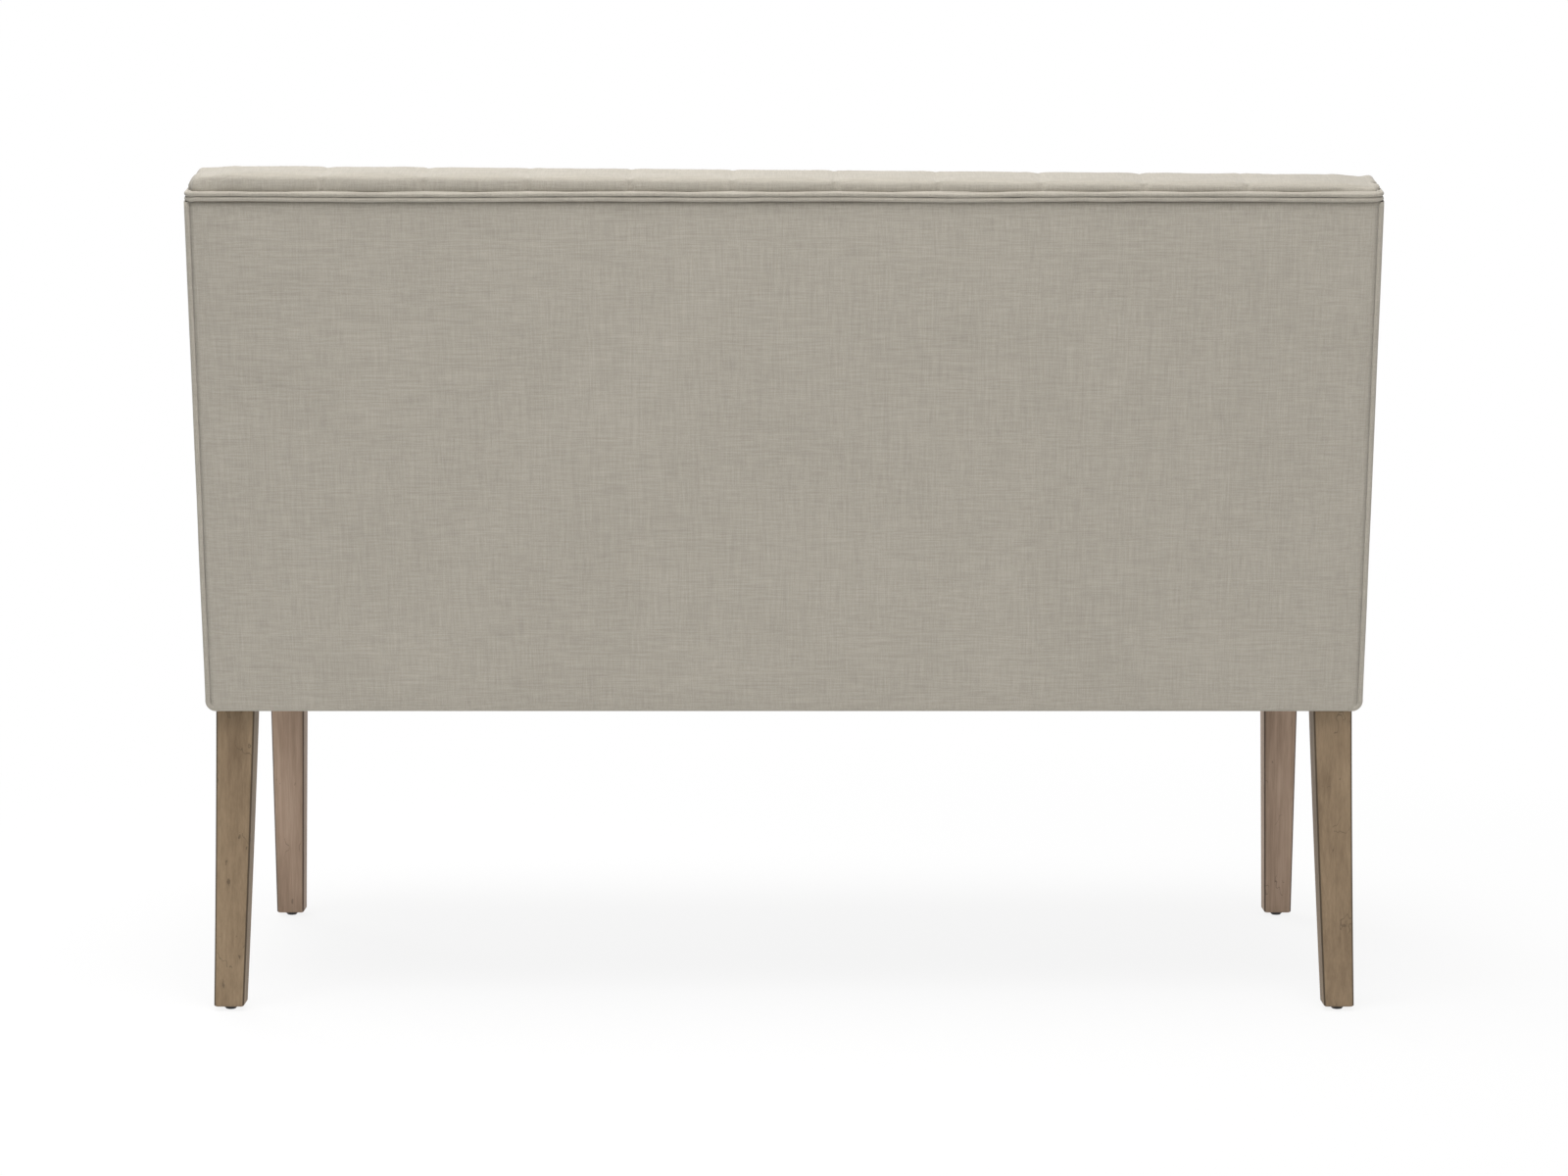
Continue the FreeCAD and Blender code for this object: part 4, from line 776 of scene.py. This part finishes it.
def folded_back(piece):
    """Gives the inside back's points with its pleats, crest folds and small creases pressed in."""
    points, facing, button, pleat, crest, front, upper = cushion_fields(piece)
    dip = np.exp(-((pleat / PLEAT_WIDTH) ** 2))
    fold = front * PLEAT_DEPTH * dip * ease(button, 0.010, 0.012)
    rolling = 1 - 0.75 * ease(facing[:, 2], 0.7, 0.25)
    rear = ease(facing[:, 1], -0.2, 0.3) * ease(points[:, 2], FRAME_TOP, 0.004)
    over_crest = np.maximum(upper * (1 - front), rear) * rolling
    fold += over_crest * CREST_DEPTH * np.exp(-((crest / CREST_WIDTH) ** 2))
    puff = rear * rolling * CREST_PUFF * np.cos(2 * np.pi * crest / TUFT_PITCH)
    near_folds = 0.25 + 0.75 * np.exp(-np.minimum(pleat, crest) / 0.03)
    creases = CREASES * waves(points, 24.0, 4)
    creases = creases + FINE_CREASES * waves(points * (3.0, 1.0, 1.0), 40.0, 6)
    return points + facing * (FABRIC * 0.8 - fold - puff + creases * near_folds)[:, None]


def fit_back(points):
    """Moves the inside back's points to meet the welt, and gives those of its top corners."""
    x, depth, rise = points.T.copy()
    above = rise - FRAME_TOP
    # The top falls to one side, and its ends spread out to the full width
    level = TOP_LIFT - TOP_TILT * (0.5 - x / (2 * PAD_HALF))
    points[:, 2] += level * ease(above, 0.001, 0.009)
    outward = ease(np.abs(x), 0.59, 0.04) * ease(above, -0.03, 0.03)
    spread = CORNER_SPREAD + LOWER_SPREAD * (1 - ease(above, 0.0, 0.012))
    widest = HALF - CLOTH
    points[:, 0] = np.clip(x + np.sign(x) * spread * outward, -widest, widest)
    # The top corners rise to their own lines
    inset = HALF - np.abs(points[:, 0])
    right_lift = np.interp(inset, CORNER_STEPS, RIGHT_CORNER_LIFTS)
    left_lift = np.interp(inset, CORNER_STEPS, LEFT_CORNER_LIFTS)
    points[:, 2] += np.where(x > 0, right_lift, left_lift) * ease(above, 0.001, 0.006)
    # The pad rests on the welt at the sides, and stays between its cords below them
    on_welt = (depth > -0.050) & (np.abs(x) > 0.640) & (rise > FRAME_TOP - 0.02)
    points[on_welt, 2] = np.maximum(points[on_welt, 2], FRAME_TOP + 0.0004)
    behind = depth - WELT_FRONT
    below = FRAME_TOP - points[:, 2]
    outside_bend = np.hypot(WELT_BEND - behind, WELT_BEND - below) > WELT_BEND
    rounded = (behind < WELT_BEND) & (below < WELT_BEND) & outside_bend
    hidden = (behind > 0) & (below > 0) & ~rounded
    points[hidden, 0] = np.clip(points[hidden, 0], -WELT_INNER, WELT_INNER)
    # Its rear foot tucks down behind the welt, and its lower edge behind the seat
    tucked = (depth > -0.016) & (rise < FRAME_TOP + 0.004)
    points[tucked, 2] -= 0.003
    points[tucked, 1] += 0.002
    points[rise < PAD_BOTTOM + 0.004, 2] -= PAD_TUCK
    return (np.abs(x) > 0.610) & (rise > FRAME_TOP + 0.003)


def back_cushion():
    """Makes the tufted inside back: foam swelling under cloth that buttons and pleats hold down."""
    piece = from_solid("back_cushion", "back_foam", BACK_VOXEL)
    set_coordinates(piece, upright(coordinates(piece)))
    swell_back(piece)
    subdivide(piece)
    points = folded_back(piece)
    corners = fit_back(points)
    set_coordinates(piece, points)
    soften(piece, corners, 6)
    set_coordinates(piece, [leaning(*point) for point in coordinates(piece)])
    finish_piece(piece, LINEN_BACK, ["inside_back_cover", "back_foam"])


def covered_buttons():
    """Makes the cloth-covered buttons, domed and drawn down into the cushion."""
    sides, rings = 24, 8
    crown = BUTTON_SEAT - BUTTON_HEIGHT
    verts, faces = [], []
    for x, rise in BUTTONS:
        pole = len(verts)
        verts.append(leaning(x, crown, rise))
        for sine, cosine in quarter_turn(rings, first=1):
            radius = BUTTON_RADIUS * sine**0.8
            drop = BUTTON_HEIGHT * (1 - cosine)
            for up, across in full_turn(sides):
                verts.append(leaning(x + radius * across, crown + drop, rise + radius * up))
        for step in range(sides):
            after = (step + 1) % sides
            faces.append((pole, pole + 1 + step, pole + 1 + after))
            for low in range(pole + 1, pole + 1 + (rings - 1) * sides, sides):
                faces.append((low + step, low + sides + step, low + sides + after, low + after))
        last = len(verts) - sides
        faces.append(tuple(reversed(range(last, last + sides))))
    piece = new_object("covered_buttons", verts, faces)
    finish_piece(piece, LINEN_BACK, ["back_buttons"])


# Seat and dust cloth, in metres: the seat's block and swell, its rolled hem, the lining's sag
SEAT_VOXEL = 0.008
SEAT_INSET = 0.004
SEAT_REAR = 0.20
SHOULDER_RADIUS = 0.024
FRONT_CORNER_RADIUS = 0.012
SEAT_CROWN = 0.004
SEAT_PRESSURE, SEAT_SWELL = 5.0, 0.006
HEM_ROLL = 0.006
HEM_FLANGE = 0.030
SEAT_RIPPLES = ((0.0008, 6.0, 8), (0.0004, 22.0, 9))
DUST_INSET = 0.0108
DUST_REAR = 0.0085
DUST_SAG = 0.0022


def rounded_block(name, low, high, radii, voxel):
    """Makes a block with a radius on the edges that each test chooses, and meshes it evenly."""
    mesh = bpy.data.meshes.new(name)
    builder = bmesh.new()
    bmesh.ops.create_cube(builder, size=1.0)
    low, high = Vector(low), Vector(high)
    for vert in builder.verts:
        vert.co = Vector(
            low[axis] + (vert.co[axis] + 0.5) * (high[axis] - low[axis]) for axis in range(3)
        )
    for wanted, radius in radii:
        bmesh.ops.bevel(
            builder,
            geom=[edge for edge in builder.edges if wanted(edge)],
            offset=radius,
            offset_type="OFFSET",
            segments=8,
            profile=0.5,
            affect="EDGES",
        )
    bmesh.ops.recalc_face_normals(builder, faces=builder.faces)
    builder.to_mesh(mesh)
    builder.free()
    return evenly_meshed(name, mesh, voxel)


def seat_cushion():
    """Makes the tight seat: crowned top, soft shoulders, plain band down to a rolled hem."""
    low = (-HALF + SEAT_INSET, SEAT_FRONT + SEAT_INSET, HEM)
    high = (HALF - SEAT_INSET, SEAT_REAR, SEAT_TOP - 0.006)

    def off_sides(edge):
        """Gives how far an edge's middle is from the top, from an end and from the front."""
        middle = (edge.verts[0].co + edge.verts[1].co) / 2
        return abs(middle.z - high[2]), abs(abs(middle.x) - high[0]), abs(middle.y - low[1])

    def top_edge(edge):
        top, end, front = off_sides(edge)
        return top < 1e-6 and min(end, front) < 1e-6

    def front_corner(edge):
        _, end, front = off_sides(edge)
        standing = abs(edge.verts[0].co.z - edge.verts[1].co.z) > 0.05
        return standing and max(end, front) < FRONT_CORNER_RADIUS

    def shown(middle, normal):
        """Tells whether a face is outside the part that the dust cloth covers."""
        inside = abs(middle.x) < HALF - HEM_FLANGE and middle.y > SEAT_FRONT + HEM_FLANGE
        underneath = middle.z < HEM + 0.010 and (normal.z < -0.3 or normal.y > 0.5)
        return not (inside and underneath)

    radii = [(top_edge, SHOULDER_RADIUS), (front_corner, FRONT_CORNER_RADIUS)]
    piece = rounded_block("seat_cushion", low, high, radii, SEAT_VOXEL)
    points = coordinates(piece)
    x, y, z = points.T
    crown = SEAT_CROWN * (1 - (x / HALF) ** 2) * (1 - ((y + 0.1) / 0.25) ** 2).clip(0, 1)
    points[:, 2] += crown * ease(z, 0.44, 0.04)
    set_coordinates(piece, points)
    pinned = np.where((z < HEM + 0.03) | (y > 0.15), HELD, 0.0)
    inflate(piece, pinned, SEAT_PRESSURE, np.full(len(points), SEAT_SWELL))
    points = coordinates(piece)
    x, y, z = points.T.copy()
    roll = ease(HEM + HEM_RADIUS - z, 0.0, HEM_RADIUS) ** 2
    points[:, 0] -= np.sign(x) * HEM_ROLL * roll * ease(np.abs(x), 0.62, 0.03)
    points[:, 1] += HEM_ROLL * roll * ease(-y, 0.30, 0.02)
    behind_pad = on_slope(0, SEAT_BACK_DEPTH + 0.012, z)[1]
    under_pad = on_slope(0, SIDE_FRONT + 0.0008, z)[1]
    step = BACK_Y + (PAD_BOTTOM + 0.001 - (z - HEM) * COS) / SIN
    points[:, 1] = np.minimum(points[:, 1], np.clip(step, behind_pad, under_pad))
    set_coordinates(piece, points)
    weld(piece, 0.001)
    keep_faces(piece, shown)
    subdivide(piece)
    points, facing = coordinates(piece), normals(piece)
    set_coordinates(piece, points + facing * ripples(points, SEAT_RIPPLES)[:, None])
    finish_piece(piece, LINEN, ["seat_cover", "seat_foam", "seat_edge_padding"])


def dust_cloth():
    """Makes the lining under the seat, stapled at its edge and sagging a little."""
    half = HALF - DUST_INSET
    front = SEAT_FRONT + DUST_INSET
    back = BACK_Y - DUST_REAR
    columns, rows = 60, 26
    verts = []
    for y in np.linspace(front, back, rows):
        for x in np.linspace(-half, half, columns):
            edge = min(half - abs(x), y - front, back - y)
            uneven = 0.8 + 0.4 * noise.noise(Vector((x * 7, y * 7, 2.0)))
            sag = DUST_SAG * (1 - math.exp(-edge / 0.06)) * uneven
            verts.append((x, y, HEM + DUST_SAG - sag))
    piece = new_object("dust_cloth", verts, grid_faces(rows, columns, flip=True))
    thicken(piece, LINING_CLOTH)
    finish_piece(piece, LINING, ["dust_cover"])


# Stage, lights and camera, in metres: each lamp's name, place, target, size and watts
FLOOR_HALF = 12.0
FLOOR_FADE = {"From Min": 0.6, "From Max": 1.9, "To Min": 0.86, "To Max": 1.0}
WORLD_LEVEL = 0.31
LAMPS = (
    ("overhead", (0.3, 0.9, 3.2), (0, 0.2, 0.7), (3.0, 2.0), 95),
    ("camera_side", (-1.0, 4.9, 1.3), (0, 0.2, 0.45), (3.4, 2.2), 50),
    ("front_side", (1.8, -3.2, 2.0), (0, 0, 0.5), (2.6, 2.2), 56),
)
CAMERA_LENS = 88.875
CAMERA_DISTANCE = 4.374
CAMERA_HEIGHT = 0.956
CAMERA_PITCH = 6.2


def seen_rays(nodes, links):
    """Gives 1 for the rays by which the camera sees a surface, and 0 for those that light it."""
    path = nodes.new("ShaderNodeLightPath")
    seen = path.outputs["Is Camera Ray"]
    for ray in ("Is Glossy Ray", "Is Transmission Ray"):
        seen = math_node(nodes, links, "MAXIMUM", seen, path.outputs[ray])
    return seen


def white_floor():
    """Makes a floor that fades to plain white for the camera and bounces light as white paint."""
    size = FLOOR_HALF
    verts = [(-size, -size, 0), (size, -size, 0), (size, size, 0), (-size, size, 0)]
    floor = new_object("floor", verts, [(0, 1, 2, 3)])
    material, nodes, links, shader = new_material("white_floor")
    shader.inputs["Base Color"].default_value = (0.92, 0.92, 0.92, 1)
    shader.inputs["Roughness"].default_value = 0.9
    glow = nodes.new("ShaderNodeEmission")
    glow.inputs["Strength"].default_value = 1.0
    seen = seen_rays(nodes, links)
    where = nodes.new("ShaderNodeTexCoord").outputs["Object"]
    distance = nodes.new("ShaderNodeVectorMath")
    distance.operation = "LENGTH"
    links.new(where, distance.inputs[0])
    fade = nodes.new("ShaderNodeMapRange")
    fade.interpolation_type = "SMOOTHSTEP"
    for name, number in FLOOR_FADE.items():
        fade.inputs[name].default_value = number
    links.new(distance.outputs["Value"], fade.inputs["Value"])
    mix = nodes.new("ShaderNodeMixShader")
    links.new(math_node(nodes, links, "MULTIPLY", seen, fade.outputs[0]), mix.inputs[0])
    links.new(shader.outputs[0], mix.inputs[1])
    links.new(glow.outputs[0], mix.inputs[2])
    links.new(mix.outputs[0], nodes["Material Output"].inputs["Surface"])
    floor.data.materials.append(material)


def white_world():
    """Makes a world that the camera sees as plain white and that lights the bench more softly."""
    world = bpy.data.worlds.new("studio")
    bpy.context.scene.world = world
    world.use_nodes = True
    tree = world.node_tree
    background = tree.nodes["Background"]
    background.inputs["Color"].default_value = (1, 1, 1, 1)
    strength = tree.nodes.new("ShaderNodeMix")
    strength.inputs["A"].default_value = WORLD_LEVEL
    strength.inputs["B"].default_value = 1.0
    tree.links.new(seen_rays(tree.nodes, tree.links), strength.inputs["Factor"])
    tree.links.new(strength.outputs["Result"], background.inputs["Strength"])


def area_light(name, place, target, size, power):
    light = bpy.data.lights.new(name, "AREA")
    light.shape = "RECTANGLE"
    light.size, light.size_y = size
    light.energy = power
    lamp = place_object(name, light)
    lamp.location = place
    lamp.rotation_euler = (Vector(target) - Vector(place)).to_track_quat("-Z", "Y").to_euler()


def photo_camera():
    """Puts the camera behind the bench, where the photo was taken from."""
    camera = bpy.data.cameras.new("photo_camera")
    camera.lens = CAMERA_LENS
    camera.sensor_width = 36.0
    camera.sensor_fit = "HORIZONTAL"
    camera.clip_end = 60
    holder = place_object("photo_camera", camera)
    holder.location = (0.0, BACK_Y + CAMERA_DISTANCE, CAMERA_HEIGHT)
    holder.rotation_euler = (math.radians(90 - CAMERA_PITCH), 0, math.pi)
    bpy.context.scene.camera = holder
    bpy.context.scene.view_settings.view_transform = "Standard"


dress_nodes()
outside_back()
for hand, side in (("left", -1), ("right", 1)):
    side_cloth(hand, side)
double_welt()
back_cushion()
covered_buttons()
seat_cushion()
dust_cloth()
white_floor()
white_world()
for lamp in LAMPS:
    area_light(*lamp)
photo_camera()
